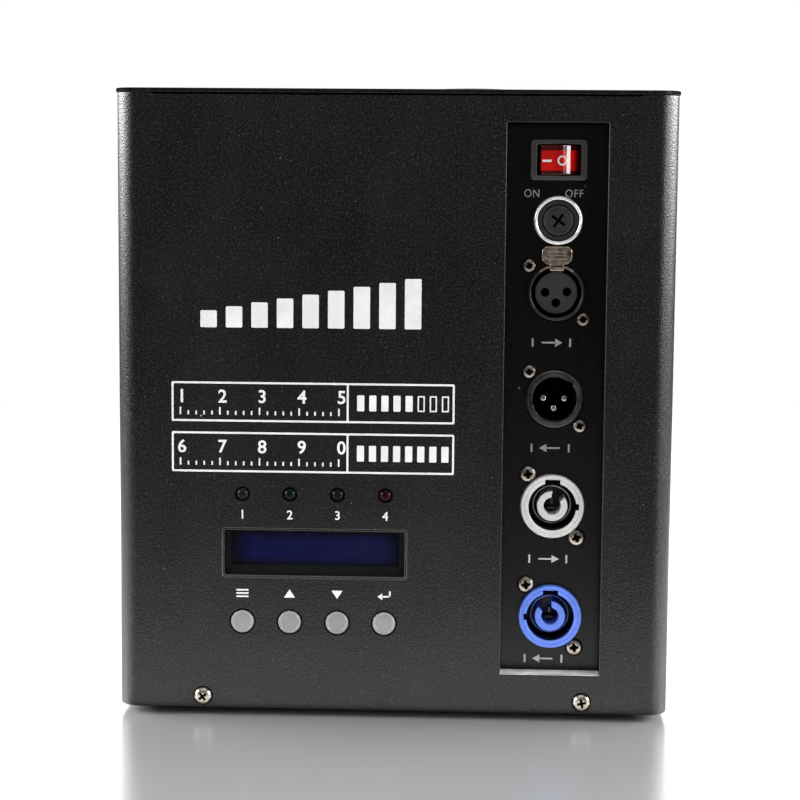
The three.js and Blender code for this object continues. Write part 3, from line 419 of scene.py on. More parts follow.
def sheet(bm, outer, holes, t, to3, b=0.3, n=3, face=0, edge=0, both=True, hole_edges=None, skip=None, outer_shift=None):
    """A flat sheet with rounded edges. outer and holes are outlines in the sheet's plane, t its thickness,
    to3 maps (u, v, depth) to space. skip says which outer edges stay open."""
    outer = ccw(outer)
    holes = [ccw(h) for h in holes]
    levels = edge_levels(t, b, n, both)
    rings = []
    for o, d in levels:
        loops = [outer_shift(outer, o) if outer_shift else offset(outer, -o)]
        loops += [offset(h, o) for h in holes]
        rings.append([[bm.verts.new(to3(u, v, d)) for u, v in loop] for loop in loops])
    flat = [[(Vector((u, v, 0))) for u, v in loop] for loop in
            ([outer_shift(outer, levels[0][0]) if outer_shift else offset(outer, -levels[0][0])] + [offset(h, levels[0][0]) for h in holes])]
    flat_back = [[(Vector((u, v, 0))) for u, v in loop] for loop in
                 ([outer_shift(outer, levels[-1][0]) if outer_shift else offset(outer, -levels[-1][0])] + [offset(h, levels[-1][0]) for h in holes])]
    for which, polys, flip in ((0, flat, False), (-1, flat_back, True)):
        verts = [v for loop in rings[which] for v in loop]
        for tri in tessellate_polygon(polys):
            tri = tri[::-1] if flip else tri
            if len({*tri}) < 3:
                continue
            try:
                f = bm.faces.new([verts[i] for i in tri])
                f.material_index = face
            except ValueError:
                pass
    for k in range(len(levels) - 1):
        for li, (a, c) in enumerate(zip(rings[k], rings[k + 1])):
            m = len(a)
            for i in range(m):
                j = (i + 1) % m
                if li == 0 and skip and skip(outer[i], outer[j]):
                    continue
                f = bm.faces.new([a[i], a[j], c[j], c[i]])
                if li == 0:
                    f.material_index = edge
                else:
                    he = hole_edges[li - 1] if hole_edges else edge
                    f.material_index = he


def fillet(prof, r=0.2, n=3):
    """Rounds the corners of a profile of (radius, height[, corner radius]) points."""
    closed = prof[0][:2] == prof[-1][:2]
    pts = prof[:-1] if closed else prof
    out = []
    for i, p in enumerate(pts):
        rad = p[2] if len(p) > 2 else r
        if (not closed and i in (0, len(pts) - 1)) or p[0] < 1e-6 or rad <= 0:
            out.append((p[0], p[1]))
            continue
        P = Vector(p[:2])
        A, C = Vector(pts[i - 1][:2]) - P, Vector(pts[(i + 1) % len(pts)][:2]) - P
        la, lc = A.length, C.length
        if la < 1e-6 or lc < 1e-6:
            continue
        A.normalize()
        C.normalize()
        ang = A.angle(C)
        if ang > PI - 0.15:
            out.append((p[0], p[1]))
            continue
        t = min(rad / math.tan(ang / 2), 0.46 * la, 0.46 * lc)
        for k in range(n + 1):
            s = k / n
            q = (P + A * t) * (1 - s) ** 2 + P * (2 * s * (1 - s)) + (P + C * t) * s ** 2
            out.append((q.x, q.y))
    if closed:
        out.append(out[0])
    return out


def along_y(x, z):
    # local Z runs along +Y
    return Matrix(((1, 0, 0, x), (0, 0, 1, 0), (0, 1, 0, z), (0, 0, 0, 1)))


def along_z(x, y, z=0.0):
    return Matrix.Translation((x, y, z))


def lathe(bm, prof, m, seg=64, mat=0, mat_of=None, phase=0.0):
    closed = prof[0] == prof[-1]
    pts = prof[:-1] if closed else prof
    rings = []
    for r, h in pts:
        if r < 1e-6:
            rings.append([bm.verts.new(m @ Vector((0, 0, h)))])
        else:
            rings.append([bm.verts.new(m @ Vector((r * math.cos(phase + 2 * PI * k / seg), r * math.sin(phase + 2 * PI * k / seg), h)))
                          for k in range(seg)])
    n = len(rings)
    for i in range(n if closed else n - 1):
        a, c = rings[i], rings[(i + 1) % n]
        if len(a) == 1 and len(c) == 1:
            continue
        mi = mat_of(pts[i], pts[(i + 1) % n]) if mat_of else mat
        for k in range(seg):
            k2 = (k + 1) % seg
            if len(a) == 1:
                f = bm.faces.new([a[0], c[k], c[k2]])
            elif len(c) == 1:
                f = bm.faces.new([a[k], c[0], a[k2]])
            else:
                f = bm.faces.new([a[k], c[k], c[k2], a[k2]])
            f.material_index = mi


def box(bm, x0, x1, y0, y1, z0, z1, b=0.0, mat=0, m=None, seg=2):
    n = bmesh.new()
    bmesh.ops.create_cube(n, size=1.0)
    for v in n.verts:
        v.co = Vector(((x0 + x1) / 2 + v.co.x * (x1 - x0), (y0 + y1) / 2 + v.co.y * (y1 - y0), (z0 + z1) / 2 + v.co.z * (z1 - z0)))
    if b > 0:
        bmesh.ops.bevel(n, geom=list(n.edges), offset=b, segments=seg, profile=0.5, affect="EDGES")
    for f in n.faces:
        f.material_index = mat
    if m is not None:
        n.transform(m)
    add(bm, n)


def add(bm, other):
    me = bpy.data.meshes.new("tmp")
    other.to_mesh(me)
    other.free()
    bm.from_mesh(me)
    bpy.data.meshes.remove(me)


def cut(bm, cutter, op="DIFFERENCE"):
    """bm less cutter, both in millimetres; the cutter's material numbers go onto the cut faces."""
    a, c = bpy.data.meshes.new("a"), bpy.data.meshes.new("c")
    for mesh, src in ((a, bm), (c, cutter)):
        bmesh.ops.remove_doubles(src, verts=src.verts, dist=1e-4)
        bmesh.ops.recalc_face_normals(src, faces=src.faces)
        src.to_mesh(mesh)
        src.free()
    oa, oc = bpy.data.objects.new("a", a), bpy.data.objects.new("c", c)
    for o in (oa, oc):
        bpy.context.scene.collection.objects.link(o)
    mod = oa.modifiers.new("cut", "BOOLEAN")
    mod.operation, mod.solver, mod.object = op, "EXACT", oc
    mod.material_mode = "INDEX"
    dg = bpy.context.evaluated_depsgraph_get()
    me = bpy.data.meshes.new_from_object(oa.evaluated_get(dg))
    out = bmesh.new()
    out.from_mesh(me)
    for o in (oa, oc):
        bpy.data.objects.remove(o)
    for x in (a, c, me):
        bpy.data.meshes.remove(x)
    return out


def prism(bm, pts, h0, h1, m, b=0.2, n=2, mat=0, edge=None):
    """Outline pts in the local XY plane between heights h0 and h1, with rounded edges at both ends."""
    sheet(bm, pts, [], h1 - h0, lambda u, v, d: m @ Vector((u, v, h0 + d)), b, n, mat, mat if edge is None else edge)


# ------------------------------------------------------------------ body shell
def build_shell():
    ar = PI / 2 * CORNER_R
    fx, fy = BODY_W / 2 - CORNER_R, BODY_D / 2 - CORNER_R
    marks = [0, fy, fy + ar, fy + ar + 2 * fx, fy + 2 * ar + 2 * fx, 3 * fy + 2 * ar + 2 * fx,
             3 * fy + 3 * ar + 2 * fx, 3 * fy + 3 * ar + 4 * fx, 3 * fy + 4 * ar + 4 * fx, 4 * fy + 4 * ar + 4 * fx]
    L = marks[-1]

    def wrap(s, z, d):
        # left side, front, right side, back, left side
        if s <= marks[1]:
            return Vector((-BODY_W / 2 + d, -s, z))
        if s <= marks[2]:
            a = PI + (s - marks[1]) / CORNER_R
            return Vector((-fx + (CORNER_R - d) * math.cos(a), -fy + (CORNER_R - d) * math.sin(a), z))
        if s <= marks[3]:
            return Vector((-fx + s - marks[2], -BODY_D / 2 + d, z))
        if s <= marks[4]:
            a = 1.5 * PI + (s - marks[3]) / CORNER_R
            return Vector((fx + (CORNER_R - d) * math.cos(a), -fy + (CORNER_R - d) * math.sin(a), z))
        if s <= marks[5]:
            return Vector((BODY_W / 2 - d, -fy + s - marks[4], z))
        if s <= marks[6]:
            a = (s - marks[5]) / CORNER_R
            return Vector((fx + (CORNER_R - d) * math.cos(a), fy + (CORNER_R - d) * math.sin(a), z))
        if s <= marks[7]:
            return Vector((fx - (s - marks[6]), BODY_D / 2 - d, z))
        if s <= marks[8]:
            a = PI / 2 + (s - marks[7]) / CORNER_R
            return Vector((-fx + (CORNER_R - d) * math.cos(a), fy + (CORNER_R - d) * math.sin(a), z))
        return Vector((-BODY_W / 2 + d, fy - (s - marks[8]), z))

    def sf(x):
        return marks[2] + x + fx

    def sb(x):
        return marks[6] + fx - x

    lo, mid, top = B, B + BODY_TOP, B + CORNER_TOP
    run = CORNER_RUN - CORNER_R
    steps = [marks[1] - run, marks[3 - 1] + run, marks[3] - run, marks[4] + run,
             marks[5] - run, marks[6] + run, marks[7] - run, marks[8] + run]
    outer = [(0, lo), (L, lo), (L, mid)]
    for i, s in enumerate(reversed(steps)):
        up = i % 2 == 0
        outer += [(s, mid), (s - 0.6, top)] if up else [(s + 0.6, top), (s, mid)]
    outer.append((0, mid))

    def shift(pts, o):
        return [(s, z + o if z < lo + 1 else z - o) for s, z in pts]

    holes, kinds = [], []

    def hole(pts, kind=1):
        holes.append(pts)
        kinds.append(kind)

    # hole edges: the panel cut-out, the display window and the fan slots take lighter paints as painted highlights;
    # the lamp and button holes take near-black as painted shade
    hole([(sf(x), z) for x, z in rrect(PANEL_X, B + (PANEL_Z0 + PANEL_Z1) / 2, PANEL_W, PANEL_Z1 - PANEL_Z0, 0.5, 3)], 4)
    hole([(sf(x), z) for x, z in rrect(LCD[0], B + LCD[1], LCD[2], LCD[3], 1.0, 5)], 5)
    for x in LAMP_X:
        hole([(sf(u), v) for u, v in circle(x, B + LAMP_Z, 2.65, 28)], 3)
    for x in BUTTON_X:
        hole([(sf(u), v) for u, v in circle(x, B + BUTTON_Z, BUTTON_R + 0.28, 36)], 3)
    for sx in (-1, 1):
        hole([(sf(u), v) for u, v in circle(sx * BASE_SCREW_X, B + BASE_SCREW_Z, 1.9, 16)], 0)
        hole([(sb(u), v) for u, v in circle(sx * BASE_SCREW_X, B + BASE_SCREW_Z, 1.9, 16)], 0)
        for sz in (-1, 1):
            hole([(sb(u), v) for u, v in circle(sx * FAN_PITCH / 2, B + FAN_Z + sz * FAN_PITCH / 2, 2.3, 16)], 0)
    for i in range(-4, 5):
        half = SLOT_HALF[abs(i)]
        hole([(sb(u), v) for u, v in rrect(i * SLOT_PITCH, B + FAN_Z, SLOT_W, 2 * half, SLOT_W / 2 - 0.02, 8)])

    bm = bmesh.new()
    levels_b = 0.42
    sheet(bm, outer, holes, SHEET, lambda s, z, d: Vector((s, z, d)), levels_b, 3, 0, 0, True, kinds,
          lambda p, q: (p[0] == 0 and q[0] == 0) or (p[0] == L and q[0] == L), shift)
    for k in range(4):
        a0 = marks[(1, 3, 5, 7)[k]]
        for i in range(17):
            s = a0 + ar * i / 16
            geom = list(bm.verts) + list(bm.edges) + list(bm.faces)
            bmesh.ops.bisect_plane(bm, geom=geom, dist=1e-4, plane_co=(s, 0, 0), plane_no=(1, 0, 0))
    for v in bm.verts:
        v.co = wrap(v.co.x, v.co.y, v.co.z)
    # the bottom edge of the tall cut-out is painted light grey: painted light from above
    for f in bm.faces:
        if f.material_index == 4:
            c = f.calc_center_median()
            if c.y < 0 and abs(c.x - PANEL_X) < PANEL_W / 2 + 1 and abs(c.z - (B + PANEL_Z0)) < 0.5 and c.y > FRONT + 0.15:
                f.material_index = 2
    return emit(bm, "casing_wrap", ["casing", "casing_edge_painted_highlight", "sill_painted_light", "gasket_and_painted_shade", "panel_edge_painted_highlight", "lcd_rim_painted_highlight"], "machine", "body_shell", 24, True, 1e-3)


def build_lid():
    bm = bmesh.new()
    w, d = BODY_W + 2 * LID_PROUD, BODY_D + 2 * LID_PROUD
    top = B + LID_TOP
    sheet(bm, rrect(0, 0, w, d, CORNER_R + LID_PROUD, 12),
          [circle(OUTLET[0], OUTLET[1], 15, 48), circle(FILLER[0], FILLER[1], 12.8, 48)],
          LID_TOP - LID_UNDER, lambda u, v, k: Vector((u, v, top - k)), 0.32, 3, 0, 0)
    # the lid's down-turned inner rim is near-black: painted shade in the gap under the lid
    ro = 2 * SHEET + 0.8
    sheet(bm, rrect(0, 0, BODY_W - ro, BODY_D - ro, 6, 6), [rrect(0, 0, BODY_W - ro - 2.4, BODY_D - ro - 2.4, 4.8, 6)],
          LID_UNDER - 229.3, lambda u, v, k: Vector((u, v, B + LID_UNDER - k)), 0.2, 2, 1, 1)
    return emit(bm, "lid_sheet", ["casing", "gasket_and_painted_shade"], "machine", "lid_plate", 24)


def build_panel():
    bm = bmesh.new()
    x0, x1 = PANEL_X - PANEL_W / 2, PANEL_X + PANEL_W / 2
    z0, z1 = B + PANEL_Z0, B + PANEL_Z1
    cz, h = (z0 + z1) / 2, z1 - z0
    yf = IN_FRONT + 0.3
    holes = [rrect(ROCKER[0], B + ROCKER[1], 19.6, 13.4, 0.6, 3), circle(FUSE[0], B + FUSE[1], 7.3, 40)]
    for c, g in ((DMX_OUT, 0.35), (DMX_IN, 0.35), (POWER_OUT, 0.3), (POWER_IN, 0.3)):
        holes.append(circle(c[0], B + c[1], c[2] + g, 56))
        for s in (-1, 1):
            holes.append(circle(c[0] + s * c[3], B + c[1] - s * c[4], 1.5, 16))
    sheet(bm, rrect(PANEL_X, cz, PANEL_W + 0.02, h + 0.02, 0.5, 3), holes, PANEL_T, lambda u, v, d: Vector((u, F + d, v)), 0.1, 1)
    # walls and flange of the tray
    inner = rrect(PANEL_X, cz, PANEL_W, h, 0.6, 4)
    sheet(bm, rrect(PANEL_X, cz, PANEL_W + 2 * PANEL_T, h + 2 * PANEL_T, 1.6, 4), [inner],
          F + PANEL_T - yf, lambda u, v, d: Vector((u, yf + d, v)), 0.15, 2)
    sheet(bm, rrect(PANEL_X, cz, PANEL_W + 10, h + 10, 1.5, 4), [rrect(PANEL_X, cz, PANEL_W + 1.2, h + 1.2, 0.8, 4)],
          1.2, lambda u, v, d: Vector((u, yf + d, v)), 0.15, 2)
    # the upward face of the tray's bottom wall is painted light grey: painted light from above
    for f in bm.faces:
        f.normal_update()
        c = f.calc_center_median()
        if abs(c.z - z0) < 0.25 and yf - 0.1 < c.y < F + 0.1 and x0 - 0.2 < c.x < x1 + 0.2 and abs(f.normal.z) > 0.6:
            f.material_index = 1
    return emit(bm, "panel_tray", ["panel", "sill_painted_light"], "machine", "connector_panel", 24, True, 1e-5)


build_shell()
build_lid()
build_panel()


# ---------------------------------------------------------------------- screws
def screw_mesh(name, r, h, shank, length, arm=0.60, width=0.17, well=0.26, ring=0.0, flat=0.0):
    bm = bmesh.new()
    prof = fillet([(0, h), (r * (0.42 + 0.3 * flat), h - 0.02 * r), (r * (0.78 + 0.13 * flat), h * 0.80), (r * (0.97 + 0.02 * flat), h * 0.42), (r, 0.12), (r * 0.97, 0.02), (shank, 0.02), (shank, -length + 1), (shank * 0.4, -length), (0, -length)], 0.12 * r, 3)
    prof[0] = (0, h)
    prof[-1] = (0, -length)
    lathe(bm, prof, Matrix.Identity(4), 48)
    if ring:
        # a near-black ring under the head: a painted shadow round it
        lathe(bm, [(r + ring, 0.03), (r + ring, 0.22), (shank + 0.4, 0.22), (shank + 0.4, 0.03), (r + ring, 0.03)], Matrix.Identity(4), 48, 1)
    # cross recess: two tapered arms and a small well, their faces painted near-black as painted shade
    cutter = bmesh.new()
    a, w, deep = r * arm, r * width, h * 0.9
    for turn in (0, PI / 2):
        n = bmesh.new()
        bmesh.ops.create_cube(n, size=1.0)
        for v in n.verts:
            k = 1.0 if v.co.z > 0 else 0.62
            v.co = Vector((v.co.x * 2 * a * k, v.co.y * 2 * w * (1 if k == 1 else 0.7), h + 0.6 if v.co.z > 0 else h - deep))
        n.transform(Matrix.Rotation(turn, 4, "Z"))
        for f in n.faces:
            f.material_index = 1
        bm = cut(bm, n)
    n = bmesh.new()
    lathe(n, [(0, h + 0.5), (r * well, h + 0.5), (r * well, h), (r * 0.10, h - deep * 0.9), (0, h - deep * 1.02)], Matrix.Identity(4), 12, 1)
    bm = cut(bm, n)
    # faces down in the recess are painted near-black: painted shade
    for f in bm.faces:
        c = f.calc_center_median()
        rr = math.hypot(c.x, c.y)
        if c.z > 0.25 and rr < r * (arm + 0.04):
            f.normal_update()
            dome = h - (h * 0.2) * (rr / (r * 0.8)) ** 2
            if c.z < dome - 0.12 * h:
                f.material_index = 1
    me = bpy.data.meshes.new(name)
    bmesh.ops.recalc_face_normals(bm, faces=bm.faces)
    bm.to_mesh(me)
    bm.free()
    me.transform(Matrix.Scale(0.001, 4))
    return me


SCREWS = {
    "base": screw_mesh("screw_base", 3.3, 2.0, 1.5, 8, ring=0.42),
    "fan": screw_mesh("screw_fan", 4.3, 2.1, 1.9, 18, 0.46, 0.12, ring=0.35),
    "power": screw_mesh("screw_power", 3.1, 1.6, 1.2, 7, 0.64, 0.20, 0.40, ring=0.3, flat=0.55),
    "data": screw_mesh("screw_data", 2.5, 1.3, 1.2, 7, 0.62, 0.20, 0.44, ring=0.3, flat=0.4),
}
rng = random.Random(7)


def screw(node, kind, x, z, face_y, side, turn):
    me = SCREWS[kind].copy()
    # local +Z becomes the outward direction
    out = Matrix(((1, 0, 0, 0), (0, 0, side, 0), (0, -side, 0, 0), (0, 0, 0, 1)))
    me.transform(Matrix.Translation((x * 0.001, face_y * 0.001, z * 0.001)) @ out @ Matrix.Rotation(math.radians(turn), 4, "Z"))
    return place(me, node + "_head", ["nickel_dark" if kind == "fan" else "nickel", "hole"], "machine", node, 30)


for side, word, y in ((-1, "front", FRONT), (1, "back", BACK)):
    for sx, lr in ((-1, "left"), (1, "right")):
        screw(f"base_screw_{word}_{lr}", "base", sx * BASE_SCREW_X, B + BASE_SCREW_Z, y, side, {("front", "left"): 38, ("front", "right"): 12, ("back", "left"): 24, ("back", "right"): 4}[(word, lr)])
for sx, lr in ((-1, "left"), (1, "right")):
    for sz, tb in ((1, "top"), (-1, "bottom")):
        screw(f"fan_screw_{tb}_{lr}", "fan", sx * FAN_PITCH / 2, B + FAN_Z + sz * FAN_PITCH / 2, BACK, 1, rng.uniform(0, 90))
for nm, c, kind in (("dmx_out_screw", DMX_OUT, "data"), ("dmx_in_screw", DMX_IN, "data"), ("power_out_screw", POWER_OUT, "power"), ("power_in_screw", POWER_IN, "power")):
    screw(nm + "_upper", kind, c[0] - c[3], B + c[1] + c[4], F, -1, rng.uniform(5, 40))
    screw(nm + "_lower", kind, c[0] + c[3], B + c[1] - c[4], F, -1, rng.uniform(5, 40))


# ---------------------------------------------------------------------- rocker
def build_rocker():
    x, z, w, h = ROCKER
    z += B
    bm = bmesh.new()
    sheet(bm, rrect(x, z, w, h, 1.5, 6), [rrect(x, z, 16.4, 11.6, 0.8, 4)], 2.0, lambda u, v, d: Vector((u, F - 2.0 + d, v)), 0.5, 4)
    # raised inner lip of the bezel
    sheet(bm, rrect(x, z, 18.4, 13.0, 1.3, 4), [rrect(x, z, 16.4, 11.6, 0.8, 4)], 1.6, lambda u, v, d: Vector((u, F - 2.2 + d, v)), 0.34, 3, 1, 1)
    # well, with its back and the pivot pin, painted near-black: painted shade
    sheet(bm, rrect(x, z, 19.0, 12.8, 0.6, 2), [rrect(x, z, 16.4, 11.6, 0.6, 2)], 9.8, lambda u, v, d: Vector((u, F - 0.8 + d, v)), 0.1, 1, 2, 2)
    box(bm, x - 9.5, x + 9.5, F + 9.0, F + 16, z - 6.4, z + 6.4, 0.4, 2)
    for dx in (-6, 0, 6):
        box(bm, x + dx - 0.4, x + dx + 0.4, F + 15, F + 23, z - 2.4, z + 2.4, 0.1, 3)
    lathe(bm, [(0, z - 6.1), (1, z - 6.1), (1, z + 6.1), (0, z + 6.1)], along_z(x, F + 2.5), 20, 2)
    emit(bm, "rocker_bezel", ["bezel", "bezel", "hole", "zinc_plate"], "machine", "rocker_housing", 30)

    # rocker: section in X and depth, rounded, then turned to ON about its pin
    sec = [(-5.6, 6.2, 0.5), (-7.3, -0.6, 0.5), (-6.4, -3.4, 0.5), (-2.4, -4.2, 0.5), (2.4, -4.2, 0.5), (6.4, -3.4, 0.5),
           (7.6, -0.6, 0.5), (5.3, 4.95, 0.35), (3.9, 6.08, 0.35), (2.6, 5.52, 1), (-0.2, 5.2, 3), (-3, 5.55, 2)]
    pts = []
    n = len(sec)
    for i, (a, b_, r) in enumerate(sec):
        P = Vector((a, b_))
        A, C = Vector(sec[i - 1][:2]) - P, Vector(sec[(i + 1) % n][:2]) - P
        la, lc = A.length, C.length
        A.normalize(); C.normalize()
        ang = A.angle(C)
        t = min(r / math.tan(ang / 2), 0.45 * la, 0.45 * lc)
        for k in range(5):
            s = k / 4
            q = (P + A * t) * (1 - s) ** 2 + P * (2 * s * (1 - s)) + (P + C * t) * s ** 2
            pts.append((q.x, q.y))
    m = Matrix.Translation((x, F + 2.5, z)) @ Matrix.Rotation(math.radians(-12), 4, "Z") @ Matrix.Diagonal((1, -1, 1, 1))
    bm = bmesh.new()
    prism(bm, pts, -5.5, 5.5, m, 0.45, 3)
    emit(bm, "rocker_paddle", ["rocker_red"], "rocker", "rocker_button", 24)
    # marks on the two halves of its face, following its curve
    face = sorted(p_ for p_ in pts if p_[1] > 5.15 and p_[0] < 5.0)

    def rise(u):
        for (ua, va), (ub, vb) in zip(face, face[1:]):
            if ua <= u <= ub and ub > ua:
                return va + (vb - va) * (u - ua) / (ub - ua)
        return face[-1][1]

    bm = bmesh.new()
    steps = [-5.05 + 3.3 * i / 8 for i in range(9)]
    prism(bm, [(u, rise(u) - 0.05) for u in steps] + [(u, rise(u) + 0.06) for u in reversed(steps)], -0.78, 0.02, m, 0.02, 1)
    sheet(bm, circle(2.4, -0.25, 1.85, 40), [circle(2.4, -0.25, 1.30, 40)], 0.11, lambda u, v, d: m @ Vector((u, rise(u) + 0.06 - d, v)), 0.02, 1)
    emit(bm, "rocker_marks", ["ink"], "rocker", (), 30, False, 1e-5)


def build_fuse():
    x, z = FUSE
    z += B
    m = along_y(x, z)
    bm = bmesh.new()
    prof = [(7.8, F - 0.05, 0.05), (7.8, F - 2.5, 0.25), (8.25, F - 2.95, 0.5), (9.0, F - 2.65, 0.7), (9.25, F - 1.5, 0.6), (9.25, F - 0.05, 0.1), (7.8, F - 0.05, 0.05)]
    lathe(bm, fillet(prof, 0.2, 5), m, 80)
    emit(bm, "fuse_bright_ring", ["chrome"], "machine", "fuse_ring", 40)
    bm = bmesh.new()
    body = [(5.95, F - 1.7, 0.15), (7.55, F - 1.7, 0.3), (7.55, F - 0.05), (6.9, F - 0.05), (6.9, F + 22), (5.4, F + 32), (0, F + 32),
            (0, F + 30.5), (3.4, F + 30.5), (3.4, F + 4.6), (5.95, F + 4.6), (5.95, F - 1.7, 0.15)]
    lathe(bm, fillet(body, 0.15, 3), m, 56, 0)
    emit(bm, "fuse_tube", ["fuse_cap"], "machine", "fuse_holder", 30)
    bm = bmesh.new()
    cap = [(0, F - 2.4), (3.9, F - 2.4, 0.15), (4.05, F - 2.15, 0.1), (4.5, F - 2.15, 0.1), (4.65, F - 2.4, 0.15), (5.2, F - 2.4, 0.3), (5.6, F - 2.0, 0.2), (5.6, F + 2.6), (3.2, F + 2.6), (3.2, F + 8), (2.7, F + 8), (2.7, F + 3.4), (0, F + 3.4)]
    lathe(bm, fillet(cap, 0.15, 3), m, 56)
    # the cross slot's faces are painted near-black: painted shade
    for a in (0.62, 0.62 + PI / 2):
        c = bmesh.new()
        box(c, -3.0, 3.0, -1, 1.0, -0.52, 0.52, 0.0, 1, Matrix.Translation((x, F - 2.4, z)) @ Matrix.Rotation(a, 4, "Y"))
        bm = cut(bm, c)
    for f in bm.faces:
        c = f.calc_center_median()
        if F - 2.35 < c.y < F - 1.3 and math.hypot(c.x - x, c.z - z) < 3.2:
            f.material_index = 1
    emit(bm, "fuse_cap_knob", ["fuse_cap", "hole"], "fuse_cap", "fuse_cap", 30)
    # glass fuse with two end caps
    bm = bmesh.new()
    lathe(bm, fillet([(0, F + 3.8), (2.5, F + 3.8), (2.5, F + 8.8), (2.3, F + 9.0), (2.3, F + 18.6), (2.5, F + 18.8), (2.5, F + 23.8), (0, F + 23.8)], 0.2, 2), m, 32, 0,
          lambda p, q: 0 if F + 8.9 < (p[1] + q[1]) / 2 < F + 18.7 else 1)
    emit(bm, "fuse_link", ["glass", "nickel"], "fuse_carrier", "fuse", 30)


def build_dmx_out():
    x, z, r = DMX_OUT[0], B + DMX_OUT[1], DMX_OUT[2]
    m = along_y(x, z)
    bm = bmesh.new()
    prof = [(0, F - 0.6), (7.7, F - 0.6, 0.3), (8.0, F - 0.2, 0.2), (8.0, F + 10), (9.5, F + 10), (9.5, F - 1.5, 0.15), (9.75, F - 1.75, 0.15), (10.35, F - 1.7, 0.25), (r, F - 1.3, 0.2),
            (r, F + 20), (9, F + 24), (0, F + 24)]
    # the inner wall of the gap round the insert is painted near-black: painted shade
    lathe(bm, fillet(prof, 0.2, 3), m, 80, 0, lambda p, q: 1 if max(p[0], q[0]) < 8.05 and min(p[1], q[1]) < F + 9 else (2 if (p[1] + q[1]) / 2 > F + 0.4 and max(p[0], q[0]) < 9.6 else 0))
    for dx, dz in ((-4.2, 0.1), (4.0, 0.3), (-0.1, -3.8)):
        c = bmesh.new()
        lathe(c, [(0, F - 2), (1.75, F - 2), (1.75, F - 0.55), (1.3, F - 0.1), (1.3, F + 9), (0, F + 9)], along_y(x + dx, z + dz), 24, 2)
        bm = cut(bm, c)
    # key above the insert, and room for the release lever
    c = bmesh.new()
    box(c, x - 3.1, x + 3.1, F - 3, F + 0.9, z + 9.2, z + 14, 0, 0)
    bm = cut(bm, c)
    # faces in the contact holes are painted near-black: painted shade
    for f in bm.faces:
        c = f.calc_center_median()
        for dx, dz in ((-4.2, 0.1), (4.0, 0.3), (-0.1, -3.8)):
            if math.hypot(c.x - x - dx, c.z - z - dz) < 1.5 and c.y > F - 0.4:
                f.material_index = 2
    box(bm, x - 1.9, x + 1.9, F - 0.9, F + 6, z + 7.0, z + 8.35, 0.25, 1)
    # metal arc of the release spring along the top of the rim
    arc = [(x + q * math.cos(math.radians(t)), z + q * math.sin(math.radians(t))) for q, ts in ((10.45, range(52, 129, 4)), (9.75, range(128, 51, -4))) for t in ts]
    prism(bm, arc, 0, 0.5, Matrix(((1, 0, 0, 0), (0, 0, 1, F - 2.0), (0, 1, 0, 0), (0, 0, 0, 1))), 0.1, 2, 3)
    sheet(bm, rrect(x, z, 26, 26, 2, 4), [circle(x, z, r - 0.6, 40), circle(x - DMX_OUT[3], z + DMX_OUT[4], 1.5, 12), circle(x + DMX_OUT[3], z - DMX_OUT[4], 1.5, 12)],
          0.8, lambda u, v, d: Vector((u, F + PANEL_T + 0.1 + d, v)), 0.15, 2)
    emit(bm, "data_out_shell", ["grey_zinc", "insert_grey", "hole", "brass_nickel"], "machine", "dmx_out_socket", 30)

    # release lever: octagonal plate with three ridges, neck and foot
    bm = bmesh.new()
    tab = [(-5.6, 1.4), (-4.2, 0), (-2.6, -0.4), (-2.6, -2.6), (2.6, -2.6), (2.6, -0.4), (4.2, 0), (5.6, 1.4), (5.6, 5.1), (4.2, 6.4), (-4.2, 6.4), (-5.6, 5.1)]
    prism(bm, [(x + a, z + 10.9 + b) for a, b in tab], 0, 1.2, Matrix(((1, 0, 0, 0), (0, 0, 1, F - 3.0), (0, 1, 0, 0), (0, 0, 0, 1))), 0.3, 3)
    for k in range(3):
        box(bm, x - 3.4, x + 3.4, F - 3.35, F - 2.8, z + 12.4 + k * 1.35, z + 13.0 + k * 1.35, 0.2, 1)
    box(bm, x - 2.6, x + 2.6, F - 3, F + 0.5, z + 9.5, z + 10.3, 0.2, 0)
    emit(bm, "data_out_lever", ["brass_nickel", "nickel"], "dmx_out_release", "dmx_out_latch", 30)


def build_dmx_in():
    x, z, r = DMX_IN[0], B + DMX_IN[1], DMX_IN[2]
    m = along_y(x, z)
    bm = bmesh.new()
    prof = [(8.35, F - 1.5, 0.1), (8.55, F - 1.95, 0.2), (9.1, F - 2.0, 0.2), (9.5, F - 1.6, 0.3), (10.2, F - 1.55, 0.3), (r, F - 1.0, 0.3), (r, F + 20), (0, F + 20), (0, F + 14.5), (8.35, F + 14.5), (8.35, F - 1.5, 0.1)]
    # the socket's inner wall beyond its front is painted near-black: painted shade
    lathe(bm, fillet(prof, 0.2, 4), m, 80, 0, lambda p, q: 1 if (p[1] + q[1]) / 2 > F + 1.2 and max(p[0], q[0]) < 8.6 else 0)
    c = bmesh.new()
    box(c, 7.6, 9.15, -3, 6, -1.1, 1.1, 0, 0, Matrix.Translation((x, F, z)) @ Matrix.Rotation(math.radians(-46), 4, "Y"))
    bm = cut(bm, c)
    sheet(bm, rrect(x, z, 26, 26, 2, 4), [circle(x, z, r - 0.6, 40), circle(x - DMX_IN[3], z + DMX_IN[4], 1.5, 12), circle(x + DMX_IN[3], z - DMX_IN[4], 1.5, 12)],
          0.8, lambda u, v, d: Vector((u, F + PANEL_T + 0.1 + d, v)), 0.15, 2)
    emit(bm, "data_in_shell", ["grey_zinc", "hole"], "machine", "dmx_in_socket", 30)
    bm = bmesh.new()
    lathe(bm, fillet([(0, F + 11), (8.05, F + 11), (8.05, F + 14.2), (0, F + 14.2)], 0.2, 2), m, 48, 1)
    for dx, dz in ((-4.2, 0.1), (3.8, 0), (-0.2, -3.8)):
        lathe(bm, fillet([(0, F + 1.6), (0.95, F + 1.6, 0.3), (1.45, F + 2.4, 0.4), (1.45, F + 12), (0, F + 12)], 0.3, 4), along_y(x + dx, z + dz), 28, 0)
    emit(bm, "data_in_pins", ["pin_silver", "hole"], "machine", "dmx_in_pins", 35)


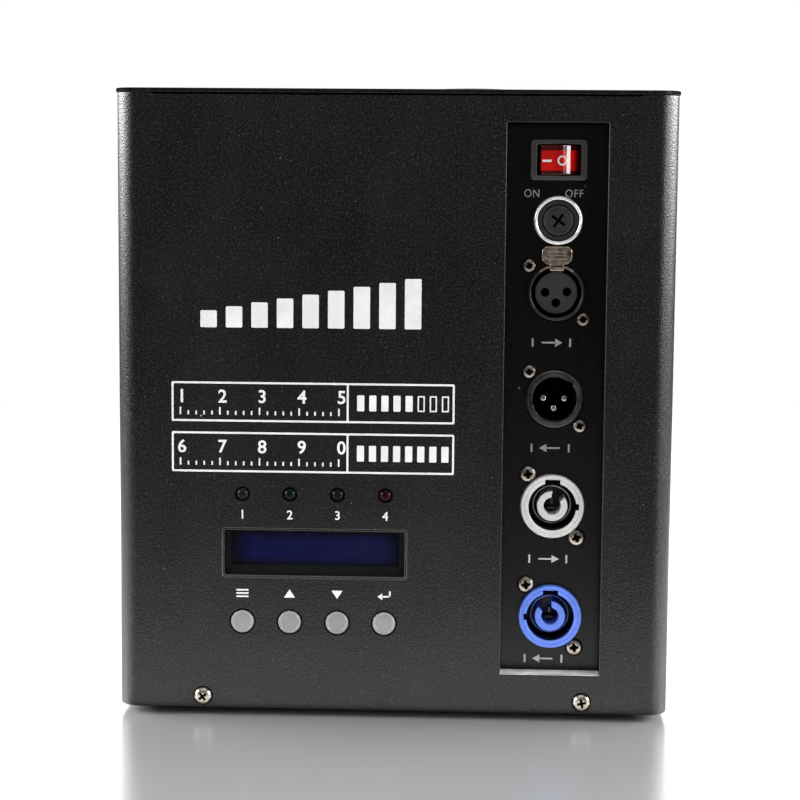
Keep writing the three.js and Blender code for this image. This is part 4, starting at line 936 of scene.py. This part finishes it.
def build_power(node, name, c, look, deep, gap0, gap1, key):
    x, z, r = c[0], B + c[1], c[2]
    m = along_y(x, z)
    bm = bmesh.new()
    prof = [(9.1, F - 2.7, 0.1), (9.3, F - 2.95, 0.12), (10.45, F - 2.95, 0.05), (10.6, F - 2.72, 0.05), (10.75, F - 2.95, 0.05), (r - 0.3, F - 2.95, 0.2), (r, F - 2.6, 0.2), (r, F + 18), (10.5, F + 22), (0, F + 22), (0, F + 10), (9.1, F + 10), (9.1, F - 2.7, 0.1)]
    lathe(bm, fillet(prof, 0.2, 4), m, 88, 0, lambda p, q: 1 if (p[1] + q[1]) / 2 > F + 0.8 and max(p[0], q[0]) < 9.3 else 0)
    for spec in ((x - 2.9, x + 2.9, z + 8.2, z + 10.3), (x + 8.2, x + 10.1, z - 1.2, z + 1.2) if key > 0 else (x - 10.1, x - 8.2, z - 1.2, z + 1.2)):
        k = bmesh.new()
        box(k, spec[0], spec[1], F - 4, F + 8, spec[2], spec[3], 0, 1)
        bm = cut(bm, k)
    # faces down inside the socket take the dark copy of its plastic: painted shade
    for f in bm.faces:
        q = f.calc_center_median()
        if F + 0.5 < q.y < F + 9.9 and math.hypot(q.x - x, q.z - z) < 10.6:
            f.material_index = 1
    # inner collar, open over part of its turn, with pointed ends
    pts = []
    n = 36
    g0, g1 = math.radians(gap1), math.radians(gap0 + 360)
    for i in range(n + 1):
        a = g0 + (g1 - g0) * i / n
        pts.append((x + 5.8 * math.cos(a), z + 5.8 * math.sin(a)))
    for i in range(n + 1):
        a = g1 - math.radians(6) - (g1 - g0 - math.radians(12)) * i / n
        pts.append((x + 3.3 * math.cos(a), z + 3.3 * math.sin(a)))
    prism(bm, pts, 0, 12.4, Matrix(((1, 0, 0, 0), (0, 0, 1, F - 1.4), (0, 1, 0, 0), (0, 0, 0, 1))), 0.3, 3, 0)
    # thin sleeve between ring and collar, and the contacts inside the collar
    lathe(bm, fillet([(6.9, F + 3.4), (7.35, F + 3.4), (7.35, F + 10.5), (6.9, F + 10.5), (6.9, F + 3.4)], 0.1, 2), m, 72, 0)
    box(bm, x - 1.7, x + 1.7, F + 6.5, F + 10.5, z - 2.6, z - 1.4, 0.2, 2)
    box(bm, x - 0.5, x + 0.5, F + 7.0, F + 10.5, z - 0.6, z + 1.9, 0.2, 2)
    sheet(bm, rrect(x, z, 26, 31, 2, 4), [circle(x, z, r - 0.6, 40), circle(x - c[3], z + c[4], 1.5, 12), circle(x + c[3], z - c[4], 1.5, 12)],
          2.3, lambda u, v, d: Vector((u, F + PANEL_T + 0.1 + d, v)), 0.2, 2)
    for dx in (-6, 0, 6):
        box(bm, x + dx - 0.4, x + dx + 0.4, F + 21, F + 29, z - 2.4, z + 2.4, 0.1, 3)
    emit(bm, name, [look, deep, "dark_zinc", "zinc_plate"], "machine", node, 30)


build_rocker()
build_fuse()
build_dmx_out()
build_dmx_in()
build_power("power_out_socket", "mains_out_shell", POWER_OUT, "white_plastic", "white_recess_shade", 35, 90, 1)
build_power("power_in_socket", "mains_in_shell", POWER_IN, "blue_plastic", "blue_recess_shade", 84, 143, -1)


# ---------------------------------------------------- display, lamps, buttons
def build_display():
    bm = bmesh.new()
    sheet(bm, rrect(LCD[0], B + LCD[1], LCD[2] - 0.3, LCD[3] - 0.3, 0.9, 5), [], 1.2, lambda u, v, d: Vector((u, FRONT + 0.3 + d, v)), 0.12, 1)
    # a pale border along its edge: a painted highlight
    sheet(bm, rrect(LCD[0], B + LCD[1], LCD[2] - 0.5, LCD[3] - 0.5, 0.8, 5), [rrect(LCD[0] - 0.06, B + LCD[1] + 0.08, LCD[2] - 1.25, LCD[3] - 1.3, 0.6, 4)],
          0.1, lambda u, v, d: Vector((u, FRONT + 0.22 + d, v)), 0.03, 1, 1, 1)
    emit(bm, "window_sheet", ["window", "lcd_rim_painted_highlight"], "machine", "display_window", 30)
    x, z = LCD[0], B + LCD[1]
    bm = bmesh.new()
    sheet(bm, rrect(x, z, 71.2, 23.0, 0.8, 3), [rrect(x, z + 1.5, 64.4, 12.8, 0.4, 2)], 6.2, lambda u, v, d: Vector((u, IN_FRONT + 0.3 + d, v)), 0.3, 2, 0, 0)
    box(bm, x - 32.3, x + 32.3, IN_FRONT + 1.0, IN_FRONT + 5.5, z - 5.0, z + 8.0, 0.0, 1)
    box(bm, x - 40, x + 40, IN_FRONT + 6.0, IN_FRONT + 7.6, z - 17.5, z + 17.5, 0.0, 2)
    emit(bm, "display_glass", ["gasket_and_painted_shade", "display", "board"], "machine", "display_module", 30, False)


def build_lamps():
    looks = ("lens_clear", "lens_green", "lens_dim", "lens_red")
    for i, x in enumerate(LAMP_X):
        bm = bmesh.new()
        prof = [(0, FRONT - 0.9)]
        for k in range(1, 9):
            a = k / 8 * PI / 2
            prof.append((2.5 * math.sin(a), FRONT + 1.4 - 2.3 * math.cos(a)))
        prof += [(2.5, FRONT + 1.8), (2.95, FRONT + 1.8), (2.95, FRONT + 2.8), (2.4, FRONT + 2.8), (2.4, FRONT + 7.5), (0, FRONT + 7.5)]
        lathe(bm, prof, along_y(x, B + LAMP_Z), 40)
        emit(bm, f"lamp_dome_{i + 1}", [looks[i]], "machine", f"indicator_lamp_{i + 1}", 40)


def build_buttons():
    for i, x in enumerate(BUTTON_X):
        bm = bmesh.new()
        r = BUTTON_R
        r -= 0.12
        prof = [(0, FRONT - 0.62), (3.15, FRONT - 0.6, 0.3), (3.5, FRONT - 0.95, 0.2), (3.85, FRONT - 0.97, 0.2), (r, FRONT - 0.6, 0.25), (r, FRONT + 1.8), (5.4, FRONT + 1.8), (5.4, FRONT + 2.8), (2.4, FRONT + 2.8), (2.4, FRONT + 9.1), (0, FRONT + 9.1)]
        lathe(bm, fillet(prof, 0.15, 3), along_y(x, B + BUTTON_Z), 64)
        emit(bm, f"button_cap_{i + 1}", ["button_grey"], f"button_{i + 1}", f"push_button_{i + 1}", 35)


build_display()
build_lamps()
build_buttons()


# ------------------------------------------------------------------------- fan
def build_fan():
    z = B + FAN_Z
    y1 = IN_BACK - 0.3
    y0 = y1 - FAN_DEPTH
    bm = bmesh.new()
    holes = [circle(0, z, 33, 72)] + [circle(sx * FAN_PITCH / 2, z + sz * FAN_PITCH / 2, 2.2, 16) for sx in (-1, 1) for sz in (-1, 1)]
    for ya, yb in ((y0, y0 + 3.4), (y1 - 3.4, y1)):
        sheet(bm, rrect(0, z, FAN_SIZE, FAN_SIZE, 5, 6), holes, yb - ya, lambda u, v, d, q=ya: Vector((u, q + d, v)), 0.4, 2)
    lathe(bm, [(33, y0 + 1), (34.6, y0 + 1), (34.6, y1 - 1), (33, y1 - 1), (33, y0 + 1)], along_y(0, z), 72)
    for a in (45, 135, 225, 315):
        mm = Matrix.Translation((0, y1 - 1.6, z)) @ Matrix.Rotation(math.radians(a - 9), 4, "Y") @ Matrix.Translation((24, 0, 0)) @ Matrix.Rotation(math.radians(7), 4, "Y")
        box(bm, -11.5, 11.5, -1.4, 1.4, -1.5, 1.5, 0.5, 0, mm)
    lathe(bm, fillet([(0, y1 - 0.2), (14.2, y1 - 0.2, 0.4), (14.5, y1 - 0.6, 0.3), (14.5, y1 - 2.4), (4.4, y1 - 2.4), (4.4, y1 - 15), (2, y1 - 15), (2, y1 - 1.4), (0, y1 - 1.4)], 0.2, 2), along_y(0, z), 64)
    emit(bm, "fan_case", ["fan_black"], "machine", "fan_frame", 30)
    # bare foil disc on the hub
    bm = bmesh.new()
    lathe(bm, [(0, y1 - 0.04), (13.9, y1 - 0.04), (13.95, y1 - 0.1), (13.95, y1 - 0.25), (0, y1 - 0.25)], along_y(0, z), 64)
    emit(bm, "fan_hub_disc", ["foil_label"], "machine", (), 30)
    # red and black leads along one strut
    for k, (look, off) in enumerate((("wire_red", 0.0), ("wire_black", 1.9))):
        bm = bmesh.new()
        pts = []
        for i in range(15):
            t = i / 14
            wob = 0.6 * math.sin(t * 6.0 + k)
            cx, cz = 14.2 + 16.8 * t + 0.7 * (off + wob), 2.6 - 15.5 * t + 0.7 * (off + wob) - 1.6
            pts.append(Vector((cx, y1 - 2.2 - 0.5 * math.sin(t * PI), z + cz)))
        tube(bm, pts, 0.52, 12)
        emit(bm, f"fan_lead_{look[5:]}", [look], "machine", (), 60)
    # rotor: cup and seven swept, cambered blades
    bm = bmesh.new()
    lathe(bm, fillet([(0, y0 + 1.6), (13.2, y0 + 1.6, 0.8), (14.2, y0 + 2.6, 0.5), (14.2, y1 - 3.4), (12.4, y1 - 3.4), (12.4, y0 + 3.6), (1.6, y0 + 3.6), (1.6, y1 - 2.2), (0, y1 - 2.2)], 0.2, 2), along_y(0, z), 56)
    ym = (y0 + y1) / 2 - 1.2
    for i in range(7):
        base = i / 7 * 2 * PI
        nr, nc = 7, 9
        top, low = [], []
        for a in range(nr + 1):
            rr = 13.6 + (31.8 - 13.6) * a / nr
            span = 0.86 - 0.22 * a / nr
            for c in range(nc + 1):
                s = c / nc - 0.5
                ang = base + s * span + 0.18 * (a / nr) ** 2
                yy = ym + s * 15.0 + 1.6 * math.cos(s * PI)
                th = 0.75 * (1 - (2 * s) ** 2 * 0.6)
                p = Vector((rr * math.cos(ang), yy, z + rr * math.sin(ang)))
                top.append(bm.verts.new(p + Vector((0, th, 0))))
                low.append(bm.verts.new(p - Vector((0, th, 0))))
        w = nc + 1
        for a in range(nr):
            for c in range(nc):
                k = a * w + c
                bm.faces.new([top[k], top[k + 1], top[k + w + 1], top[k + w]])
                bm.faces.new([low[k], low[k + w], low[k + w + 1], low[k + 1]])
        rim = [a * w for a in range(nr + 1)] + [nr * w + c for c in range(1, nc + 1)] + [a * w + nc for a in range(nr - 1, -1, -1)] + [c for c in range(nc - 1, 0, -1)]
        for k, q in zip(rim, rim[1:] + rim[:1]):
            bm.faces.new([top[k], low[k], low[q], top[q]])
    emit(bm, "fan_blades", ["fan_black"], "fan_rotor", "fan_rotor", 35)


def tube(bm, pts, r, seg=12):
    rings = []
    ref = Vector((0, 1, 0))
    for i, p in enumerate(pts):
        t = (pts[min(i + 1, len(pts) - 1)] - pts[max(i - 1, 0)]).normalized()
        u = t.cross(ref).normalized()
        v = t.cross(u).normalized()
        rings.append([bm.verts.new(p + u * (r * math.cos(2 * PI * k / seg)) + v * (r * math.sin(2 * PI * k / seg))) for k in range(seg)])
    for a, c in zip(rings, rings[1:]):
        for k in range(seg):
            q = (k + 1) % seg
            bm.faces.new([a[k], c[k], c[q], a[q]])
    bm.faces.new(rings[0])
    bm.faces.new(rings[-1])


build_fan()


# ------------------------------------------------------------------ top pieces
def build_top():
    x, y = OUTLET
    t = B + LID_TOP
    bm = bmesh.new()
    prof = [(13, t + COLLAR_H - 0.8, 0.4), (13.7, t + COLLAR_H, 0.5), (COLLAR_R - 1.5, t + COLLAR_H, 0.6), (COLLAR_R - 0.9, t + COLLAR_H - 0.7, 0.5),
            (COLLAR_R - 0.9, t + 1.5, 0.5), (COLLAR_R, t + 0.7, 0.3), (COLLAR_R, t + 0.05, 0.1), (14.6, t + 0.05, 0.1), (14.6, t - 7), (13, t - 7), (13, t + COLLAR_H - 0.8, 0.4)]
    lathe(bm, fillet(prof, 0.15, 4), along_z(x, y), 96)
    emit(bm, "outlet_ring", ["collar_black"], "machine", "outlet_collar", 30)
    x, y = FILLER
    bm = bmesh.new()
    prof = [(0, t - 7), (11.6, t - 7), (12.4, t - 6.2), (12.4, t + 0.1), (FILLER_CAP_R, t + 0.1, 0.1), (FILLER_CAP_R, t + 0.9, 0.3), (FILLER_CAP_R - 0.5, t + 1.3, 0.3), (11.9, t + 1.28, 0.1), (11.7, t + 1.12, 0.1), (11.3, t + 1.12, 0.1), (11.1, t + 1.28, 0.1), (0, t + 1.3)]
    lathe(bm, fillet(prof, 0.1, 3), along_z(x, y), 80)
    emit(bm, "filler_disc", ["cap_white"], "filler_cap", "filler_cap", 30)


def build_feet():
    for name, sx, sy in (("foot_front_left", -1, -1), ("foot_front_right", 1, -1), ("foot_back_left", -1, 1), ("foot_back_right", 1, 1)):
        bm = bmesh.new()
        lathe(bm, fillet([(0, 1.0), (2.6, 1.0), (3.2, 0.0), (8.6, 0.0, 0.4), (9.5, 1.0, 0.5), (9.5, 3.2), (0, 3.2)], 0.25, 3), along_z(sx * FOOT_X, sy * FOOT_Y), 48)
        emit(bm, name + "_pad", ["rubber"], "machine", name, 30)


build_top()
build_feet()


# ------------------------------------------------------------- printed marks
def flat_front(y):
    return Matrix(((1, 0, 0, 0), (0, 0, 1, y), (0, 1, 0, 0), (0, 0, 0, 1)))


def mark(name, polys, y=FRONT, look="ink", body="machine", holes=None, m=None):
    """Printed marks: each outline is 0.04 mm of ink, standing 0.03 mm proud of the face."""
    bm = bmesh.new()
    mm = m or flat_front(y - 0.03)
    for i, pts in enumerate(polys):
        hs = holes[i] if holes and holes[i] else []
        sheet(bm, pts, hs, 0.04, lambda u, v, d: mm @ Vector((u, v, d)), 0.008, 1)
    return emit(bm, name, [look], body, (), 30, False, 1e-6)


def rect(x0, x1, z0, z1):
    return [(x0, z0), (x1, z0), (x1, z1), (x0, z1)]


def bar(p, q, w):
    a, b = Vector(p), Vector(q)
    t = (b - a).normalized()
    n = Vector((-t.y, t.x)) * (w / 2)
    return [tuple(a - n), tuple(b - n), tuple(b + n), tuple(a + n)]


def word(name, text, size, cx, cz, y=FRONT, look="ink", heavy=0.0, space=1.0, slot="casing", m=None, squeeze=1.0):
    """Generic lettering and numbers in Blender's own font, as thin ink."""
    cu = bpy.data.curves.new(name, "FONT")
    cu.body = text
    cu.size = 1.0
    cu.extrude = 0.0
    cu.offset = heavy
    cu.space_character = space
    cu.align_x, cu.align_y = "LEFT", "BOTTOM_BASELINE"
    ob = bpy.data.objects.new(name, cu)
    bpy.context.scene.collection.objects.link(ob)
    dg = bpy.context.evaluated_depsgraph_get()
    me = bpy.data.meshes.new_from_object(ob.evaluated_get(dg))
    bpy.data.objects.remove(ob)
    bpy.data.curves.remove(cu)
    xs = [v.co.x for v in me.vertices]
    ys = [v.co.y for v in me.vertices]
    k = size / (max(ys) - min(ys))
    mx, my = (max(xs) + min(xs)) / 2, (max(ys) + min(ys)) / 2
    mm = m or flat_front(y - 0.03)
    bm = bmesh.new()
    bm.from_mesh(me)
    bpy.data.meshes.remove(me)
    bmesh.ops.remove_doubles(bm, verts=bm.verts, dist=1e-5)
    for v in bm.verts:
        v.co = Vector((cx + (v.co.x - mx) * k * squeeze, cz + (v.co.y - my) * k, 0))
    ret = bmesh.ops.extrude_face_region(bm, geom=list(bm.faces))
    for v in [g for g in ret["geom"] if isinstance(g, bmesh.types.BMVert)]:
        v.co.z += 0.04
    bm.transform(mm)
    return emit(bm, name, [look], "machine", (), 30, False, 1e-6)


# level meter
polys = []
n_bars, x_lo, x_hi, z_lo, z_hi = 9, -72.9, 10.1, B + 146.1, B + 164.9
pitch = (x_hi - x_lo + 3.4) / n_bars
for i in range(n_bars):
    a = x_lo + i * pitch
    h = (z_hi - z_lo) * (0.34 + 0.66 * i / (n_bars - 1))
    polys.append(rrect(a + (pitch - 3.4) / 2, z_lo + h / 2, pitch - 3.4, h, 0.5, 4))
mark("level_bars", polys)

# two ruled boxes with a divider each
LINE = 0.75


def frame_box(name, x0, x1, z0, z1, xd):
    polys = [rrect((x0 + x1) / 2, (z0 + z1) / 2, x1 - x0, z1 - z0, 0.6, 3)]
    h = [[rrect((x0 + xd) / 2 + LINE / 4, (z0 + z1) / 2, xd - x0 - 1.5 * LINE, z1 - z0 - 2 * LINE, 0.3, 3),
          rrect((xd + x1) / 2 - LINE / 4, (z0 + z1) / 2, x1 - xd - 1.5 * LINE, z1 - z0 - 2 * LINE, 0.3, 3)]]
    mark(name, polys, holes=h)


frame_box("scale_box_upper", -83.9, 22.9, B + 110.5, B + 125.6, -17.3)
frame_box("scale_box_lower", -83.9, 22.9, B + 91.3, B + 106.6, -17.3)
for i, (z0, z1, first) in enumerate(((B + 110.5, B + 125.6, 1), (B + 91.3, B + 106.6, 6))):
    zc = (z0 + z1) / 2
    ticks = []
    for k in range(21):
        xx = -80.6 + k * 3.0
        ticks.append(rect(xx - 0.3, xx + 0.3, z0 + 2.6, z0 + (5.4 if k % 5 == 0 else 4.1)))
    mark(f"scale_ticks_{i + 1}", ticks)
    for k in range(5):
        word(f"scale_number_{i * 5 + k + 1}", str((first + k) % 10), 5.0, -80.6 + 1.0 + k * 15.0 - (0 if k else 0.4), zc + 2.1, heavy=0.018)
    blocks = [rrect(-12.4 + k * 4.55, zc, 2.7, 6.0, 0.3, 3) for k in range(8)]
    mark(f"scale_blocks_{i + 1}", blocks[: (5 if i == 0 else 8)])
    if i == 0:
        outl = [rrect(-12.4 + k * 4.55, zc, 2.7, 6.0, 0.3, 3) for k in range(5, 8)]
        mark("scale_blocks_open", outl, holes=[[rrect(-12.4 + k * 4.55, zc, 1.7, 5.0, 0.2, 3)] for k in range(5, 8)])

# numbers over the lamps' row and signs over the buttons
for i, x in enumerate(LAMP_X):
    word(f"lamp_number_{i + 1}", str(i + 1), 3.4, x, B + 75.2, heavy=0.012)
bz = B + 44.8
x = BUTTON_X[0]
mark("sign_menu", [rect(x - 2.3, x + 2.3, bz + k * 1.25 - 0.3, bz + k * 1.25 + 0.3) for k in (-1, 0, 1)])
x = BUTTON_X[1]
mark("sign_up", [[(x - 2.1, bz - 1.5), (x + 2.1, bz - 1.5), (x, bz + 1.7)]])
x = BUTTON_X[2]
mark("sign_down", [[(x - 2.1, bz + 1.5), (x, bz - 1.7), (x + 2.1, bz + 1.5)]])
x = BUTTON_X[3]
mark("sign_enter", [bar((x + 2.2, bz + 1.6), (x + 2.2, bz - 0.85), 0.62), bar((x + 2.5, bz - 0.55), (x - 0.9, bz - 0.55), 0.62), [(x - 2.5, bz - 0.55), (x - 0.7, bz - 1.85), (x - 0.7, bz + 0.75)]])

# ON and OFF, and arrows beside the sockets
word("label_on", "ON", 2.95, 50.8, B + 197.1, F, "ink_dim", 0.0, 1.1, "panel", None, 0.86)
word("label_off", "OFF", 2.95, 66.7, B + 197.1, F, "ink_dim", 0.0, 1.1, "panel", None, 0.90)


def arrow_sign(name, cx, cz, outward, look):
    # a bar for the panel and an arrow leaving or entering it
    w = 0.6
    polys = [rect(cx - 7.4, cx - 6.7, cz - 1.6, cz + 1.6), rect(cx + 6.7, cx + 7.4, cz - 1.6, cz + 1.6)]
    if outward:
        polys += [rect(cx - 3.6, cx + 1.6, cz - w / 2, cz + w / 2), [(cx + 1.4, cz - 1.55), (cx + 4.2, cz), (cx + 1.4, cz + 1.55)]]
    else:
        polys += [rect(cx - 1.6, cx + 3.6, cz - w / 2, cz + w / 2), [(cx - 4.2, cz), (cx - 1.4, cz - 1.55), (cx - 1.4, cz + 1.55)]]
    mark(name, polys, F, look, "machine")


arrow_sign("sign_data_out", 59.0, B + 141.1, True, "ink_dim")
arrow_sign("sign_data_in", 59.2, B + 101.0, False, "ink_dim")
arrow_sign("sign_power_out", 59.0, B + 58.3, True, "ink_mid")
arrow_sign("sign_power_in", 57.8, B + 19.5, False, "ink_mid")

# top: a line and an arrow to the outlet, and the same to the filler cap
top_m = Matrix(((1, 0, 0, 0), (0, 1, 0, 0), (0, 0, -1, B + LID_TOP + 0.03), (0, 0, 0, 1)))
x, y = OUTLET
mark("top_sign_outlet", [rect(x - 20.5, x + 20.5, 36.2, 37.6), rect(x - 0.45, x + 0.45, 16.0, 34.0), [(x - 1.9, 16.4), (x, 11.8), (x + 1.9, 16.4)]], m=top_m)
x, y = FILLER
mark("top_sign_filler", [rect(x - 22, x + 22, -27.6, -26.2), rect(x - 0.45, x + 0.45, -24.2, 8.0), [(x - 1.9, 7.6), (x, 12.2), (x + 1.9, 7.6)]], m=top_m)

# -------------------------------------------------- CAD pieces that stay shown
STAY = {
    "base_plate": "casing", "control_board": "board", "spark_tube": "stainless", "heater_jacket": "ceramic",
    "blower_housing": "black_plastic", "blower_impeller": "black_plastic", "granule_hopper": "stainless",
    "feed_tube": "stainless", "feed_auger": "zinc_plate", "feed_motor": "zinc_plate", "power_supply": "aluminium",
}
for node, look in STAY.items():
    me = NODES[node].data
    me.materials.clear()
    me.materials.append(MAT[look])
    me.polygons.foreach_set("use_smooth", [True] * len(me.polygons))
    me.set_sharp_from_angle(angle=math.radians(36))

# ---------------------------------------------------------------- floor, world
floor_me = bpy.data.meshes.new("floor")
floor_me.from_pydata([(-2.2, -2.2, 0), (2.2, -2.2, 0), (2.2, 2.2, 0), (-2.2, 2.2, 0)], [], [(0, 1, 2, 3)])
floor = bpy.data.objects.new("floor", floor_me)
bpy.context.scene.collection.objects.link(floor)
fm, nt, p = shader("floor_white", (0.185, 0.185, 0.185), 0.22, 0.0, 1.0)
tc = nt.nodes.new("ShaderNodeTexCoord")
vl = nt.nodes.new("ShaderNodeVectorMath")
vl.operation = "LENGTH"
nt.links.new(tc.outputs["Object"], vl.inputs[0])
# the floor thins out with distance, into the white surroundings
tr = nt.nodes.new("ShaderNodeBsdfTransparent")
ms = nt.nodes.new("ShaderNodeMixShader")
nt.links.new(ramp(nt, vl.outputs["Value"], 0.42, 1.05), ms.inputs["Fac"])
out = nt.nodes["Material Output"]
nt.links.new(p.outputs["BSDF"], ms.inputs[1])
nt.links.new(tr.outputs["BSDF"], ms.inputs[2])
nt.links.new(ms.outputs["Shader"], out.inputs["Surface"])
floor_me.materials.append(fm)

scene = bpy.context.scene
scene.view_settings.view_transform = "Standard"
scene.view_settings.look = "None"
world = bpy.data.worlds.new("studio")
scene.world = world
world.use_nodes = True
wt = world.node_tree
bg = wt.nodes["Background"]
# white to look at; as light, a dim room with a brighter ceiling
lp = wt.nodes.new("ShaderNodeLightPath")
sd = wt.nodes.new("ShaderNodeTexCoord")
sx = wt.nodes.new("ShaderNodeSeparateXYZ")
wt.links.new(sd.outputs["Generated"], sx.inputs["Vector"])
sky = ramp(wt, sx.outputs["Z"], -0.05, 0.9, 0.02, 0.25)
low = ramp(wt, sx.outputs["Z"], 0.0, -0.15, 0.0, 0.08)
tot = wt.nodes.new("ShaderNodeMath")
tot.operation = "MAXIMUM"
wt.links.new(sky, tot.inputs[0])
wt.links.new(low, tot.inputs[1])
seen = wt.nodes.new("ShaderNodeMix")
seen.data_type = "FLOAT"
wt.links.new(lp.outputs["Is Camera Ray"], seen.inputs[0])
wt.links.new(tot.outputs[0], seen.inputs[2])
seen.inputs[3].default_value = 1.0
bg.inputs["Color"].default_value = (1, 1, 1, 1)
wt.links.new(seen.outputs[0], bg.inputs["Strength"])


def softbox(name, at, to, w, h, radiance):
    li = bpy.data.lights.new(name, "AREA")
    li.shape = "RECTANGLE"
    li.size, li.size_y = w, h
    li.energy = radiance * PI * w * h
    ob = bpy.data.objects.new(name, li)
    scene.collection.objects.link(ob)
    ob.location = at
    ob.rotation_euler = (Vector(to) - Vector(at)).to_track_quat("-Z", "Y").to_euler()
    ob.visible_camera = False
    return ob


mid = (0, 0, 0.118)
key = softbox("key_top", (0.0, -0.05, 1.6), (0, 0, 0.1), 1.5, 1.5, 1.5)
shaded = bpy.data.collections.new("not_lit_by_key")
shaded.objects.link(floor)
key.light_linking.receiver_collection = shaded
for item in shaded.collection_objects:
    item.light_linking.link_state = "EXCLUDE"
# the lid doesn't mirror the tall banks
top_dark = bpy.data.collections.new("not_lit_by_banks")
top_dark.objects.link(bpy.data.objects["lid_sheet"])
for end in (-1, 1):
    word_ = "front" if end < 0 else "back"
    for side in (-1, 1):
        hand = "left" if side < 0 else "right"
        # tall banks beside the machine: strong above, weak below
        for az, wide, high, weak in ((60, 0.40, 11.0, 0.3), (84, 0.46, 30.0, 0.5), (108, 0.40, 16.0, 0.5)):
            a = math.radians(az)
            at = (side * 1.15 * math.sin(a), end * 1.15 * math.cos(a))
            k = 1.0 if end < 0 else 0.55
            bank = softbox(f"bank_{word_}_{hand}_{az}_high", (*at, 0.50), (0, 0, 0.26), wide, 0.42, high * k)
            bank.light_linking.receiver_collection = top_dark
            softbox(f"bank_{word_}_{hand}_{az}_low", (*at, 0.15), (0, 0, 0.15), wide, 0.26, weak * k)
    softbox(f"{word_}_high", (0, end * 1.0, 1.0), (0, 0, 0.1), 0.9, 0.4, 0.6)
    softbox(f"{word_}_mid", (0, end * 1.2, 0.45), (0, 0, 0.1), 0.9, 0.3, 0.3)
    # bright table close to the machine, facing up
    softbox(f"table_{word_}", (0, end * 0.165, 0.003), (0, end * 0.165, 1), 0.7, 0.13, 1.35)
for item in top_dark.collection_objects:
    item.light_linking.link_state = "EXCLUDE"
# narrow strip for the glint on the switch
softbox("strip", (0.06 + 1.1 * math.sin(0.94), -0.09 - 1.1 * math.cos(0.94), 0.27), (0.06, -0.09, 0.23), 0.24, 0.22, 14.0)
# white cloth far away on all sides, which the floor mirrors around the machine
flagged = bpy.data.collections.new("lit_by_cloth")
flagged.objects.link(floor)
for word_, ax, ay, strength in (("back", 0, 1.7, 3.4), ("front", 0, -1.7, 0.8), ("left", -1.7, 0, 1.8), ("right", 1.7, 0, 1.8)):
    cloth = softbox("cloth_" + word_, (ax, ay, 0.50), (0, 0, 0.50), 3.4, 0.85, strength)
    cloth.light_linking.receiver_collection = flagged
# the floor's own light, from behind, so that the machine's soft shadow falls forward
floor_top = softbox("floor_top", (0, 0.62, 1.5), (0, 0, 0), 1.3, 1.1, 2.6)
floor_top.light_linking.receiver_collection = flagged

# ---------------------------------------------------------------------- camera
cam = bpy.data.cameras.new("camera")
cam.sensor_width = 36.0
cam.lens = 86.0
cam.clip_start, cam.clip_end = 0.01, 60
cam_ob = bpy.data.objects.new("camera", cam)
scene.collection.objects.link(cam_ob)
cam_ob.location = (0.0315, -0.809, 0.199)
yaw, pitch_, roll = math.radians(-2.34), math.radians(-6.12), math.radians(0.46)
look_dir = Vector((math.sin(yaw) * math.cos(pitch_), math.cos(yaw) * math.cos(pitch_), math.sin(pitch_)))
quat = look_dir.to_track_quat("-Z", "Y")
cam_ob.rotation_euler = (quat.to_matrix().to_4x4() @ Matrix.Rotation(roll, 4, "Z")).to_euler()
scene.camera = cam_ob
